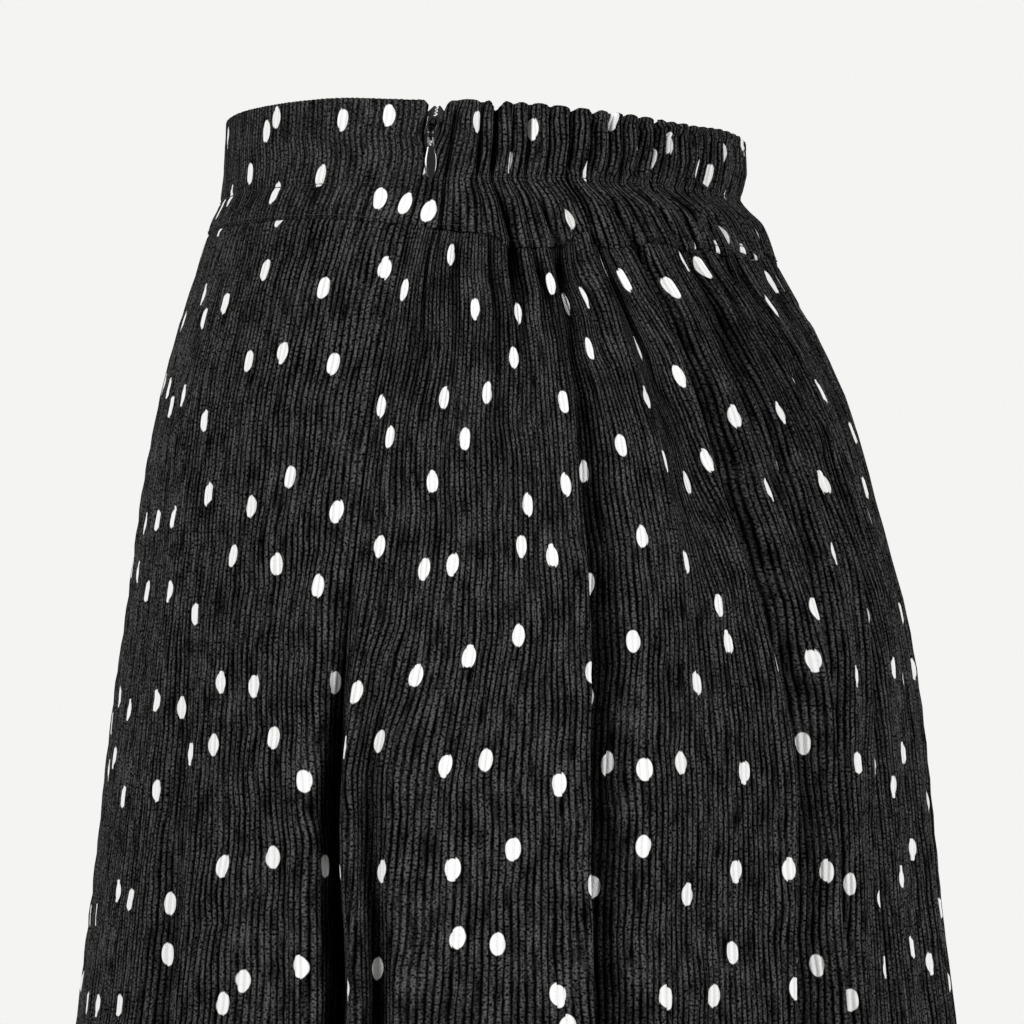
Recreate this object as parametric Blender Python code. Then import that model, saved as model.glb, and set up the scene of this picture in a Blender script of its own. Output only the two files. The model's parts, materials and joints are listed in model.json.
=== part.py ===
"""Pleated midi skirt with a flat front yoke, an elastic back yoke and a concealed side zip.

Metres, +Z up. +X is the wearer's left, where the zip is, and -Y is the front. The origin is the
middle of the waist, halfway up the elastic casing. The skirt keeps the hollow, filled-out form
that it has when it is worn, with the waist and the hem open.

Angles go round the body from the wearer's left (0) over the back (90) to the right (180) and
over the front (270, or -90).
"""
import bpy
import bmesh
import numpy as np
from collections import namedtuple
from math import atan2, cos, pi, radians, sin
from mathutils import Matrix, Vector

# ---------------------------------------------------------------- driving sizes

CASING_TOP = 0.015        # top edge of the 30 mm elastic casing
CASING_FOOT = -0.015      # its lower stitch line
YOKE_SEAM = -0.036        # where the back panel is gathered into the yoke
YOKE_SEAM_SIDE = -0.031   # the same seam where it meets the side seams
HIP = -0.150
THIGH = -0.240
LOW = -0.320
HEM = -0.765

YOKE_WALL = 0.0020        # two layers of crinkled cloth, with the elastic between them
SKIRT_WALL = 0.0015
SEAM_GAP = 0.0003

# Half widths of the body of cloth at each height: to the side, the front and the back.
Section = namedtuple("Section", "z side front back")
SECTIONS = (
    Section(HEM, 0.280, 0.200, 0.222),
    Section(-0.450, 0.236, 0.163, 0.1855),
    Section(LOW, 0.214, 0.1458, 0.1695),
    Section(-0.259, 0.199, 0.1402, 0.1632),
    Section(-0.199, 0.186, 0.134, 0.158),
    Section(-0.168, 0.180, 0.130, 0.1535),
    Section(-0.123, 0.170, 0.125, 0.142),
    Section(-0.093, 0.162, 0.120, 0.135),
    Section(-0.063, 0.150, 0.113, 0.123),
    Section(YOKE_SEAM, 0.137, 0.105, 0.108),
    Section(-0.023, 0.131, 0.1015, 0.1015),
    Section(CASING_FOOT, 0.127, 0.098, 0.0930),
    Section(0.000, 0.125, 0.0965, 0.0952),
    Section(CASING_TOP, 0.1235, 0.096, 0.0950),
)

# The side seams, in degrees behind the sides, at each height.
SeamPoint = namedtuple("SeamPoint", "z left right")
SIDE_SEAMS = (
    SeamPoint(HEM, 0.5, 0.0),
    SeamPoint(LOW, 1.0, 0.5),
    SeamPoint(-0.218, -1.9, -1.0),
    SeamPoint(-0.126, -0.2, 0.0),
    SeamPoint(-0.075, 1.5, 1.5),
    SeamPoint(YOKE_SEAM, 3.1, 3.5),
    SeamPoint(CASING_FOOT, 5.4, 5.5),
    SeamPoint(CASING_TOP, 8.4, 8.0),
)

# Heights of the yoke's top edge, the casing's stitch line and the yoke seam, round the body.
YokeLine = namedtuple("YokeLine", "angle top stitch seam")
YOKE_FRONT_LINES = (
    YokeLine(-184, 0.0150, -0.0140, YOKE_SEAM_SIDE),
    YokeLine(-160, 0.0172, -0.0136, -0.027),
    YokeLine(-90, 0.0180, -0.0130, -0.025),
    YokeLine(-20, 0.0180, -0.0140, -0.027),
    YokeLine(3, 0.0160, -0.0150, YOKE_SEAM_SIDE),
)
YOKE_BACK_LINES = (
    YokeLine(4, 0.0158, -0.0150, YOKE_SEAM_SIDE),
    YokeLine(20, 0.0152, -0.0129, -0.036),
    YokeLine(30, 0.0146, -0.0122, -0.038),
    YokeLine(48, 0.0132, -0.0119, -0.037),
    YokeLine(66, 0.0121, -0.0115, -0.0355),
    YokeLine(84, 0.0126, -0.0109, -0.035),
    YokeLine(97, 0.0128, -0.0092, -0.035),
    YokeLine(112, 0.0124, -0.0073, -0.0355),
    YokeLine(133, 0.0126, -0.0095, -0.037),
    YokeLine(150, 0.0132, -0.0115, -0.038),
    YokeLine(175, 0.0150, -0.0140, YOKE_SEAM_SIDE),
)

# The long folds, a row for each. Each is a trough that starts at the yoke seam or below it.
# pleat: the number of the pleat edge that runs down its bottom, counted from the left seam
#        round the back, or from the right seam round the front.
# at_*: its angle in degrees, and deep_*: its depth in millimetres, at five heights.
# near, far: how wide its two flanks are in millimetres, and tuck: how far it tucks under the
#        cloth on its near side, in degrees from straight in.
Fold = namedtuple("Fold", "name pleat at_seam at_hip at_thigh at_low at_hem "
                          "deep_seam deep_hip deep_thigh deep_low deep_hem near far tuck")
BACK_FOLDS = (
    Fold("side_left", 0, 3.1, -0.9, -1.9, 1.0, 0.5, 0.0, 0.8, 11, 15, 17, 8, 6, 10),
    Fold("behind_zip", 2, 6.5, 3.8, 2.6, 5.2, 5.0, 0.0, 0, 5, 9, 11, 4.5, 9, 0),
    Fold("left_first", 13, 31.8, 32.8, 32.4, 32.8, 33.0, 3.4, 8, 12, 15, 20, 6, 14, 24),
    Fold("left_short", 18, 39.8, 46.5, 46.5, 46.0, 46.0, 2.8, 2, 0, 1, 6, 5, 9, 10),
    Fold("left_deep", 24, 47.9, 56.5, 61.8, 59.6, 59.0, 5.0, 14, 17, 18, 22, 6, 11, 26),
    Fold("left_slim", 27, 59.0, 68.2, 67.5, 65.9, 66.5, 3.4, 10, 14, 16, 20, 5, 10, 22),
    Fold("left_hip", 33, 71.0, 82.4, 79.5, 78.5, 79.0, 2.8, 12, 4, 3, 8, 7, 13, 20),
    Fold("back_left", 39, 83.0, 93.5, 95.0, 95.0, 95.0, 2.6, 6, 10, 13, 20, 8, 14, 16),
    Fold("back_right", 45, 97.0, 106.5, 108.5, 109.0, 109.0, 2.8, 9, 14, 16, 21, 8, 13, -16),
    Fold("right_hip", 50, 111.0, 117.0, 119.0, 120.0, 121.0, 2.6, 8, 6, 8, 14, 8, 9, -18),
    Fold("right_deep", 55, 124.0, 127.5, 130.0, 131.0, 131.0, 4.0, 12, 16, 18, 22, 11, 6, -24),
    Fold("right_short", 60, 137.0, 139.5, 142.0, 143.0, 142.0, 2.6, 6, 3, 4, 9, 9, 6, -12),
    Fold("right_last", 64, 148.0, 150.5, 152.0, 153.0, 153.0, 3.2, 8, 13, 15, 19, 12, 6, -22),
    Fold("side_right", 76, 176.5, 180.0, 181.0, 179.5, 180.0, 0.0, 1, 7, 10, 14, 7, 7, 0),
)
FRONT_FOLDS = (
    Fold("front_right_side", 7, 210, 208, 207, 206, 206, 0, 0, 3, 5, 12, 12, 14, 0),
    Fold("front_right", 15, 244, 242, 241, 240, 240, 0, 0, 2, 4, 11, 14, 16, 0),
    Fold("front_left", 24, 284, 286, 288, 289, 289, 0, 0, 2, 3, 10, 15, 14, 0),
    Fold("front_left_side", 32, 324, 327, 329, 330, 330, 0, 0, 3, 5, 12, 14, 12, 0),
)
ALL_FOLDS = BACK_FOLDS + FRONT_FOLDS
FOLD_HEIGHTS = (HEM, LOW, THIGH, HIP, YOKE_SEAM)
FOLD_WIDTH_AT_SEAM = 0.50      # a fold is this much narrower where it leaves the yoke
LIP = 0.26                     # the cloth rolls out beside a fold by this share of its depth
LIP_PLACE = 1.45
LIP_WIDTH = 0.75
SEAM_SLACK = 0.1               # radians: a fold on a side seam may start just before it

# Pleats, counted over each piece; a hundred and ninety in all with the gathers of the elastic.
YOKE_FRONT_PLEATS = 36
SKIRT_FRONT_PLEATS = 40
SKIRT_BACK_PLEATS = 76
PLEAT_RISE = 0.0013            # how far a pleat's ridge stands out of the wall
YOKE_PLEAT_RISE = 0.0008
GATHERED_RISE = 0.0019         # the same just under the gathered yoke seam
GATHERED_REACH = 0.060         # and how far down the skirt the gathers fade

# The elastic's gathers: a row for each dent between two of them, on the left half.
# angle, at_seam: where it lies in the casing and at the yoke seam, in degrees.
# wide, deep: its half width and its depth in the casing, in millimetres.
# top: share of its depth left at the top edge, and deep_seam: its depth at the yoke seam.
Dent = namedtuple("Dent", "angle at_seam wide deep top deep_seam")
LEFT_DENTS = (
    Dent(18.0, 18.2, 2.3, 3.4, 0.2, 0.5),
    Dent(21.3, 23.6, 3.1, 4.6, 1.0, 2.4),
    Dent(25.0, 27.6, 1.6, 2.4, 0.9, 0.8),
    Dent(28.5, 31.8, 2.0, 3.0, 0.7, 3.2),
    Dent(33.0, 36.0, 1.5, 2.2, 0.8, 0.9),
    Dent(38.0, 40.3, 2.6, 4.0, 0.8, 2.6),
    Dent(43.0, 48.0, 2.8, 4.4, 0.9, 4.4),
    Dent(47.0, 52.0, 1.8, 3.0, 0.4, 1.0),
    Dent(50.5, 55.2, 1.8, 3.2, 0.7, 1.2),
    Dent(54.5, 59.0, 2.2, 3.4, 0.5, 3.2),
    Dent(59.0, 64.3, 2.6, 4.2, 0.9, 2.4),
    Dent(62.5, 67.4, 1.6, 2.6, 0.5, 1.4),
    Dent(66.0, 71.0, 1.8, 2.8, 0.5, 2.4),
    Dent(70.0, 75.0, 2.8, 4.4, 0.8, 1.6),
    Dent(73.5, 78.5, 1.6, 2.6, 0.7, 1.8),
    Dent(77.0, 81.6, 1.8, 3.0, 0.7, 1.2),
    Dent(80.5, 84.6, 1.6, 2.6, 0.6, 2.0),
    Dent(84.5, 88.2, 2.2, 3.4, 0.8, 1.4),
)
MIDDLE_DENTS = (Dent(89.0, 91.4, 2.4, 3.8, 0.8, 1.6), Dent(93.2, 94.0, 1.8, 3.0, 0.7, 1.2))
MIRROR = 181.5                 # the angles of a dent and its twin on the right half come to this
MIRROR_AT_SEAM = 184.5
DENT_PINCH = 0.50              # share of a dent's depth left at the stitch line
PINCH_NARROW = 0.62            # and of its width
SHOULDER = 0.5                 # of a dent's half width, from its bottom to a shoulder's point
SHOULDER_DEPTH = 0.4           # share of the depth there
DENT_HEIGHTS = (-0.039, -0.026, CASING_FOOT, -0.009, 0.007, CASING_TOP)
PLAIN_COLUMNS = 4              # of points across the plain cloth beside each seam

# Heights of the rows of points, as shares of the way from a piece's top to its foot.
CASING_ROWS = (0.0, 0.28, 0.66, 1.0)
STRIP_ROWS = (0.30, 0.62, 1.0)
SKIRT_ROWS = (0.0, 0.020, 0.055, 0.100, 0.160, 0.225, 0.300, 0.410, 0.640, 1.0)

# The concealed zip. It stops where the side seam starts to fold.
ZIP_TOP = 0.0138
ZIP_FOOT = -0.1484
TAPE_WIDTH = 0.011
TAPE_WALL = 0.0010
TAPE_GAP = 0.0008              # between the tape and the cloth that it is sewn to
COIL_WIDTH = 0.0015
COIL_RISE = 0.0008             # the coil stands in from the tape by this much
ZIP_CALM = 0.010               # pleats start to stand out of the cloth this far from the zip
CALM_START = 0.6               # share of that distance within which there are none

# How far each edge of the cloth, and each coil, lies from the middle of the zip.
ZipEdge = namedtuple("ZipEdge", "z cloth")
ZIP_NOTCH = (
    ZipEdge(-0.0080, 0.00015),
    ZipEdge(-0.0040, 0.0008),
    ZipEdge(0.0000, 0.0022),
    ZipEdge(0.0025, 0.0029),
    ZipEdge(0.0100, 0.0030),
    ZipEdge(CASING_TOP, 0.0034),
)
Coil = namedtuple("Coil", "z edge")
COIL_EDGES = (
    Coil(ZIP_FOOT, 0.00015),
    Coil(-0.1044, 0.00015),
    Coil(-0.0714, 0.00015),
    Coil(-0.0457, 0.00015),
    Coil(-0.0318, 0.00015),
    Coil(-0.0302, 0.00015),
    Coil(-0.0241, 0.00015),
    Coil(-0.0172, 0.00015),
    Coil(-0.0131, 0.00015),
    Coil(0.0040, 0.00015),
    Coil(0.0052, 0.0013),
    Coil(0.0094, 0.0013),
    Coil(0.0106, 0.00015),
    Coil(ZIP_TOP, 0.00015),
)

# The slider: a body behind the coil, a neck between the two halves and a frame in front.
SLIDER_WIDTH = 0.0060
SLIDER_HEIGHT = 0.0085
SLIDER_DEPTH = 0.0022
SLIDER_ROOM = 0.0013           # between the coil and the slider, which stands upright
SLIDER_FOOT = -0.0018          # below the frame's lower bar
SLIDER_ROUND = 0.0006
NECK_WIDTH = 0.0016
NECK_HEIGHT = 0.0022
NECK_ROUND = 0.0002
NECK_REACH = 0.6               # share of the wire's radius that the neck reaches out into it
FRAME_WIDTH = 0.0049           # outside
FRAME_HEIGHT = 0.0068
FRAME_CORNER = 0.0011
FRAME_CORNER_STEPS = 3
WIRE_RADIUS = 0.00055
WIRE_SIDES = 8
BAR_RADIUS = 0.00045           # the frame's lower bar, in the pull's eye
BAR_Z = 0.0032
BAR_STAND_OFF = 0.0012         # of the bar's middle from the cloth's face

# The pull: two eyes on the bar, a neck of two wires and a drop.
EYE_RADIUS = 0.00125
EYE_WIRE = 0.00040
LEG_WIRE = 0.00046
EYE_STEPS = 12
EYE_SPREAD = 0.0017            # between the middles of the two eyes
LEG_INTO_EYE = 0.00013         # the legs reach this far into the eyes
LEG_INTO_DROP = 0.0004         # and this far into the drop
NECK_LENGTH = 0.0046           # from the bar to the top of the drop
NECK_SHOULDER = 0.00030        # the drop starts this much wider than its neck
DROP_LENGTH = 0.0124
DROP_WIDTH = 0.0046
DROP_THICKNESS = 0.0011
DROP_WIDEST = 0.42             # share of its length above the widest place
DROP_SHARES = (0.0, 0.12, 0.26, 0.42, 0.60, 0.76, 0.88, 0.95, 0.98)
DROP_SWELL = 1.3               # how slowly the drop widens under its neck
DROP_FULL = 2.4                # how full its lower half is
DROP_TIP = 0.72                # and how round its tip
RIM_BEVEL = 0.00018
PULL_CLEARANCE = 0.0005        # between the drop and the cloth that it lies on
LIE_FROM = 0.35                # the pull is laid on the cloth from this share of its length
LIE_HEIGHTS = 8                # heights at which its distance from the cloth is tried
LIE_ANGLES = 5                 # and angles at each of them
LIE_REACH = 0.02               # radians that they reach to each side

MITRE_LIMIT = 0.22             # keeps an offset line's sharp corners from running far out
ALONG_STEP = 0.001             # radians, to find which way the cloth runs

# Colours, as linear RGB.
BLACK_CLOTH = (0.0144, 0.0144, 0.0144, 1.0)
BLACK_TAPE = (0.0100, 0.0100, 0.0100, 1.0)
BLACK_METAL = (0.0200, 0.0200, 0.0200, 1.0)


# ---------------------------------------------------------------- curves through tables

def smooth(x, xs, ys):
    """Read a smooth curve through the points (xs, ys) that doesn't overshoot them."""
    x = np.clip(np.asarray(x, float), xs[0], xs[-1])
    xs = np.asarray(xs, float)
    ys = np.asarray(ys, float)
    step = np.diff(xs)
    slope = np.diff(ys) / step
    steady = slope[:-1] * slope[1:] > 0
    weight_a = 2 * step[1:] + step[:-1]
    weight_b = step[1:] + 2 * step[:-1]
    safe_a = np.where(steady, slope[:-1], 1.0)
    safe_b = np.where(steady, slope[1:], 1.0)
    middle = (weight_a + weight_b) / (weight_a / safe_a + weight_b / safe_b)
    tangent = np.concatenate(([slope[0]], np.where(steady, middle, 0.0), [slope[-1]]))
    k = np.clip(np.searchsorted(xs, x, side="right") - 1, 0, len(step) - 1)
    t = (x - xs[k]) / step[k]
    start = (1 + 2 * t) * (1 - t) ** 2 * ys[k] + t * (1 - t) ** 2 * step[k] * tangent[k]
    end = t * t * (3 - 2 * t) * ys[k + 1] + t * t * (t - 1) * step[k] * tangent[k + 1]
    return start + end


def column(table, name):
    """One named column of a table."""
    return [getattr(row, name) for row in table]


def read(table, name, key, x):
    """A smooth reading of one column of a table against another."""
    return smooth(x, column(table, key), column(table, name))


def left_seam(z):
    """Angle of the left side seam, in radians."""
    return np.radians(read(SIDE_SEAMS, "left", "z", z))


def right_seam(z):
    """Angle of the right side seam, in radians, met from the back."""
    return pi - np.radians(read(SIDE_SEAMS, "right", "z", z))


# ---------------------------------------------------------------- the body of cloth

def pace(angle, z):
    """How far the cloth's face goes for each radian, with no folds."""
    side = read(SECTIONS, "side", "z", z)
    depth = np.where(np.sin(angle) >= 0, read(SECTIONS, "back", "z", z),
                     read(SECTIONS, "front", "z", z))
    return np.hypot(side * np.sin(angle), depth * np.cos(angle))


def fold_angle(fold, z):
    """Where a fold's bottom lies at a height, in radians."""
    ways = (fold.at_hem, fold.at_low, fold.at_thigh, fold.at_hip, fold.at_seam)
    return np.radians(smooth(z, FOLD_HEIGHTS, ways))


def fold_depth(fold, z):
    """How deep a fold is at a height, in metres."""
    depths = (fold.deep_hem, fold.deep_low, fold.deep_thigh, fold.deep_hip, fold.deep_seam)
    return 0.001 * smooth(z, FOLD_HEIGHTS, depths)


def fold_width(z):
    """How much of its full width a fold has at a height."""
    return smooth(z, (HEM, HIP, YOKE_SEAM), (1.0, 1.0, FOLD_WIDTH_AT_SEAM))


def mirrored(dent):
    """The same dent on the right half."""
    return dent._replace(angle=MIRROR - dent.angle, at_seam=MIRROR_AT_SEAM - dent.at_seam)


DENTS = LEFT_DENTS + MIDDLE_DENTS + tuple(mirrored(dent) for dent in LEFT_DENTS[::-1])


def dent_angle(dent, z):
    """Where a dent's bottom lies at a height, in radians."""
    lower = float(np.clip((CASING_FOOT - z) / (CASING_FOOT - YOKE_SEAM), 0, 1))
    return radians(dent.angle + (dent.at_seam - dent.angle) * lower)


def dent_depth(dent, z):
    """How deep a dent is at a height, in metres."""
    middle = (dent.deep_seam + dent.deep) / 2
    depths = (dent.deep_seam, middle, DENT_PINCH * dent.deep, dent.deep, dent.deep,
              dent.top * dent.deep)
    return 0.001 * float(smooth(z, DENT_HEIGHTS, depths))


def shoulder_reach(dent, z):
    """How far a dent's shoulders lie from its bottom, in radians."""
    narrow = float(smooth(z, DENT_HEIGHTS, (1.0, 1.0, PINCH_NARROW, 1.0, 1.0, 1.0)))
    return SHOULDER * 0.001 * dent.wide * narrow / float(pace(dent_angle(dent, z), z))


def face(angle, z, folds, dented=0.0):
    """A point of the cloth's face, as x and y, with its folds but without its pleats.

    dented is how deep the point lies in a dent of the elastic.
    """
    side = read(SECTIONS, "side", "z", z)
    depth = np.where(np.sin(angle) >= 0, read(SECTIONS, "back", "z", z),
                     read(SECTIONS, "front", "z", z))
    x = side * np.cos(angle)
    y = depth * np.sin(angle)
    speed = pace(angle, z)
    along_x = -side * np.sin(angle) / speed
    along_y = depth * np.cos(angle) / speed
    inward = np.zeros_like(x) + dented
    sideways = np.zeros_like(x)
    for fold in folds:
        turn = np.mod(angle - fold_angle(fold, z) + pi, 2 * pi) - pi
        reach = 0.001 * np.where(turn < 0, fold.near, fold.far) * fold_width(z)
        across = turn * speed / reach
        deep = fold_depth(fold, z)
        trough = np.where(np.abs(across) < 1, np.cos(across * pi / 2) ** 2, 0.0)
        lip = LIP * np.exp(-((np.abs(across) - LIP_PLACE) / LIP_WIDTH) ** 2)
        inward += deep * (trough * cos(radians(fold.tuck)) - lip)
        sideways -= deep * trough * sin(radians(fold.tuck))
    x += sideways * along_x - inward * along_y
    y += sideways * along_y + inward * along_x
    return np.stack([x, y], axis=-1)


def offset_line(line, distance):
    """A line of points moved to its left-hand side by a distance, with mitred corners."""
    step = np.diff(line, axis=0)
    step /= np.linalg.norm(step, axis=1)[:, None]
    before = np.vstack([step[:1], step])
    after = np.vstack([step, step[-1:]])
    normal_before = np.stack([-before[:, 1], before[:, 0]], axis=-1)
    normal_after = np.stack([-after[:, 1], after[:, 0]], axis=-1)
    opening = 1 + np.sum(normal_before * normal_after, axis=1)
    mitre = (normal_before + normal_after) / np.maximum(opening, MITRE_LIMIT)[:, None]
    return line + mitre * distance


# ---------------------------------------------------------------- pieces of cloth

def wall_mesh(name, outer, inner):
    """A closed wall from a grid of outer points and one with every second column inside it."""
    rows, columns = outer.shape[:2]
    half = inner.shape[1]
    points = np.concatenate([outer.reshape(-1, 3), inner.reshape(-1, 3)])
    mesh = bmesh.new()
    verts = [mesh.verts.new(point) for point in points]

    def out(row, place):
        return verts[row * columns + place]

    def back(row, place):
        return verts[rows * columns + row * half + place]

    for row in range(rows - 1):
        for place in range(columns - 1):
            mesh.faces.new((out(row + 1, place), out(row + 1, place + 1),
                            out(row, place + 1), out(row, place)))
        for place in range(half - 1):
            mesh.faces.new((back(row, place), back(row, place + 1),
                            back(row + 1, place + 1), back(row + 1, place)))
        for place, inside in ((0, 0), (columns - 1, half - 1)):
            side = [out(row, place), back(row, inside), back(row + 1, inside),
                    out(row + 1, place)]
            mesh.faces.new(side if place == 0 else side[::-1])
    for row in (0, rows - 1):
        for inside in range(half - 1):
            first = 2 * inside
            strip = [(out(row, first), out(row, first + 1), back(row, inside)),
                     (out(row, first + 1), back(row, inside + 1), back(row, inside)),
                     (out(row, first + 1), out(row, first + 2), back(row, inside + 1))]
            for corners in strip:
                mesh.faces.new(corners if row == 0 else corners[::-1])
    data = bpy.data.meshes.new(name)
    mesh.to_mesh(data)
    mesh.free()
    return data


def cloth_wall(name, angles, heights, body, thickness, rise, folds, material, dented=None):
    """A sewn piece: a wall round part of the body, with its pleats raised on the outside.

    angles and heights are grids with two columns for each pleat, and body gives the heights at
    which the sections are read. rise is how far the odd columns, the ridges, stand out of the
    face; dented is how deep each point lies in a dent of the elastic.
    """
    if dented is None:
        dented = np.zeros_like(angles)
    outer = np.empty(angles.shape + (3,))
    inner = np.empty((angles.shape[0], (angles.shape[1] + 1) // 2, 3))
    for row in range(angles.shape[0]):
        line = face(angles[row], body[row], folds, dented[row])
        outer[row, :, :2] = line
        outer[row, :, 2] = heights[row]
        inner[row, :, :2] = offset_line(line[::2], thickness)
        inner[row, :, 2] = heights[row, ::2]
        ridge_line = offset_line(line, -1.0) - line
        outer[row, 1::2, :2] += ridge_line[1::2] * rise[row, 1::2, None]
    piece = bpy.data.objects.new(name, wall_mesh(name, outer, inner))
    bpy.context.collection.objects.link(piece)
    piece.data.materials.append(material)
    return piece


def between(first, last, pleats):
    """Angles of the pleat edges and ridges, even from the first to the last."""
    return np.linspace(first, last, 2 * pleats + 1)


def skirt_angles(first, last, pleats, folds, z):
    """Angles of a skirt panel's pleats at a height, with two pleats kept for each fold."""
    knots = {0: first, pleats: last}
    for fold in folds:
        past_first = float(fold_angle(fold, z)) - first + SEAM_SLACK
        middle = past_first % (2 * pi) - SEAM_SLACK + first
        speed = float(pace(middle, z))
        width = float(fold_width(z))
        spots = ((fold.pleat - 1, middle - 0.001 * fold.near * width / speed),
                 (fold.pleat, middle),
                 (fold.pleat + 1, middle + 0.001 * fold.far * width / speed))
        for number, angle in spots:
            if 0 < number < pleats:
                shared = knots.get(number, angle)
                knots[number] = (shared + angle) / 2
    numbers = sorted(knots)
    steps = np.linspace(0, pleats, 2 * pleats + 1)
    return np.interp(steps, numbers, [knots[number] for number in numbers])


def zip_gap(z):
    """How far the cloth's edge lies from the middle of the left side seam."""
    return np.maximum(read(ZIP_NOTCH, "cloth", "z", z), SEAM_GAP / 2)


def calm(angle, z):
    """0 beside the zip, where the cloth is flat, and 1 away from it."""
    distance = np.abs(angle - left_seam(z)) * pace(angle, z)
    near = np.clip(distance / ZIP_CALM - CALM_START, 0, 1)
    return np.where(z > ZIP_FOOT, near, 1.0)


def yoke_levels():
    """Heights of the rows of an even yoke, down to the yoke seam at the side seams."""
    casing = [CASING_TOP + share * (CASING_FOOT - CASING_TOP) for share in CASING_ROWS]
    strip = [CASING_FOOT + share * (YOKE_SEAM_SIDE - CASING_FOOT) for share in STRIP_ROWS]
    return casing + strip


def yoke_row(angles, level, lines):
    """Real heights along a yoke's row, and the heights at which the body is read there."""
    turn = np.degrees(angles)
    stitch = read(lines, "stitch", "angle", turn)
    if level >= CASING_FOOT:
        share = (level - CASING_FOOT) / (CASING_TOP - CASING_FOOT)
        top = read(lines, "top", "angle", turn)
        return stitch + share * (top - stitch), np.full_like(angles, level)
    share = (CASING_FOOT - level) / (CASING_FOOT - YOKE_SEAM_SIDE)
    foot = read(lines, "seam", "angle", turn) + SEAM_GAP / 2
    return stitch + share * (foot - stitch), CASING_FOOT + share * (foot - CASING_FOOT)


def make_yoke_front(material):
    """The flat front of the yoke, from the right side seam round to the zip."""
    levels = yoke_levels()
    angles = np.empty((len(levels), 2 * YOKE_FRONT_PLEATS + 1))
    heights = np.empty_like(angles)
    body = np.empty_like(angles)
    for row, level in enumerate(levels):
        first = right_seam(level) - 2 * pi + SEAM_GAP / 2 / pace(pi, level)
        last = left_seam(level) - zip_gap(level) / pace(0.0, level)
        angles[row] = between(first, last, YOKE_FRONT_PLEATS)
        heights[row], body[row] = yoke_row(angles[row], level, YOKE_FRONT_LINES)
    rise = YOKE_PLEAT_RISE * calm(angles, heights)
    return cloth_wall("yoke_front", angles, heights, body, YOKE_WALL, rise, (), material)


def gathered_row(first, last, level):
    """Angles and depths along a row of the back yoke: four points for each dent.

    They are the ridge before the dent, its shoulder, its bottom and its other shoulder.
    """
    bottoms = [dent_angle(dent, level) for dent in DENTS]
    reaches = [shoulder_reach(dent, level) for dent in DENTS]
    start = bottoms[0] - reaches[0] / SHOULDER
    end = bottoms[-1] + reaches[-1] / SHOULDER
    ridges = [start]
    for number in range(len(DENTS) - 1):
        before = bottoms[number] + reaches[number]
        after = bottoms[number + 1] - reaches[number + 1]
        ridges.append((before + after) / 2)
    angles = list(np.linspace(first, start, PLAIN_COLUMNS, endpoint=False))
    depths = [0.0] * PLAIN_COLUMNS
    for dent, ridge, bottom, reach in zip(DENTS, ridges, bottoms, reaches):
        deep = dent_depth(dent, level)
        angles += [ridge, bottom - reach, bottom, bottom + reach]
        depths += [0.0, SHOULDER_DEPTH * deep, deep, SHOULDER_DEPTH * deep]
    angles += list(np.linspace(end, last, PLAIN_COLUMNS + 1))
    depths += [0.0] * (PLAIN_COLUMNS + 1)
    return angles, depths


def make_yoke_back(material):
    """The back of the yoke: the gathered elastic casing and the puffed strip under it."""
    levels = yoke_levels()
    angles = np.empty((len(levels), 4 * len(DENTS) + 2 * PLAIN_COLUMNS + 1))
    heights = np.empty_like(angles)
    body = np.empty_like(angles)
    dented = np.empty_like(angles)
    for row, level in enumerate(levels):
        first = float(left_seam(level) + zip_gap(level) / pace(0.0, level))
        last = float(right_seam(level) - SEAM_GAP / 2 / pace(pi, level))
        angles[row], dented[row] = gathered_row(first, last, level)
        heights[row], body[row] = yoke_row(angles[row], level, YOKE_BACK_LINES)
    rise = np.zeros_like(angles)
    return cloth_wall("yoke_back", angles, heights, body, YOKE_WALL, rise, (), material, dented)


def make_skirt_front(material):
    """The front panel, from the right side seam round to the left one."""
    left, right = BACK_FOLDS[0], BACK_FOLDS[-1]
    folds = FRONT_FOLDS + (left._replace(pleat=SKIRT_FRONT_PLEATS), right._replace(pleat=0))
    rows = len(SKIRT_ROWS)
    angles = np.empty((rows, 2 * SKIRT_FRONT_PLEATS + 1))
    heights = np.empty_like(angles)
    for row, share in enumerate(SKIRT_ROWS):
        level = YOKE_SEAM_SIDE + share * (HEM - YOKE_SEAM_SIDE)
        first = float(right_seam(level) + SEAM_GAP / 2 / pace(pi, level))
        last = float(2 * pi + left_seam(level) - SEAM_GAP / 2 / pace(0.0, level))
        angles[row] = skirt_angles(first, last, SKIRT_FRONT_PLEATS, folds, level)
        turn = np.degrees(angles[row] - 2 * pi)
        seam = read(YOKE_FRONT_LINES, "seam", "angle", turn) - SEAM_GAP / 2
        heights[row] = seam + share * (HEM - seam)
    rise = PLEAT_RISE * calm(angles - 2 * pi, heights)
    return cloth_wall("skirt_front", angles, heights, heights, SKIRT_WALL, rise, ALL_FOLDS,
                      material)


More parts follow.
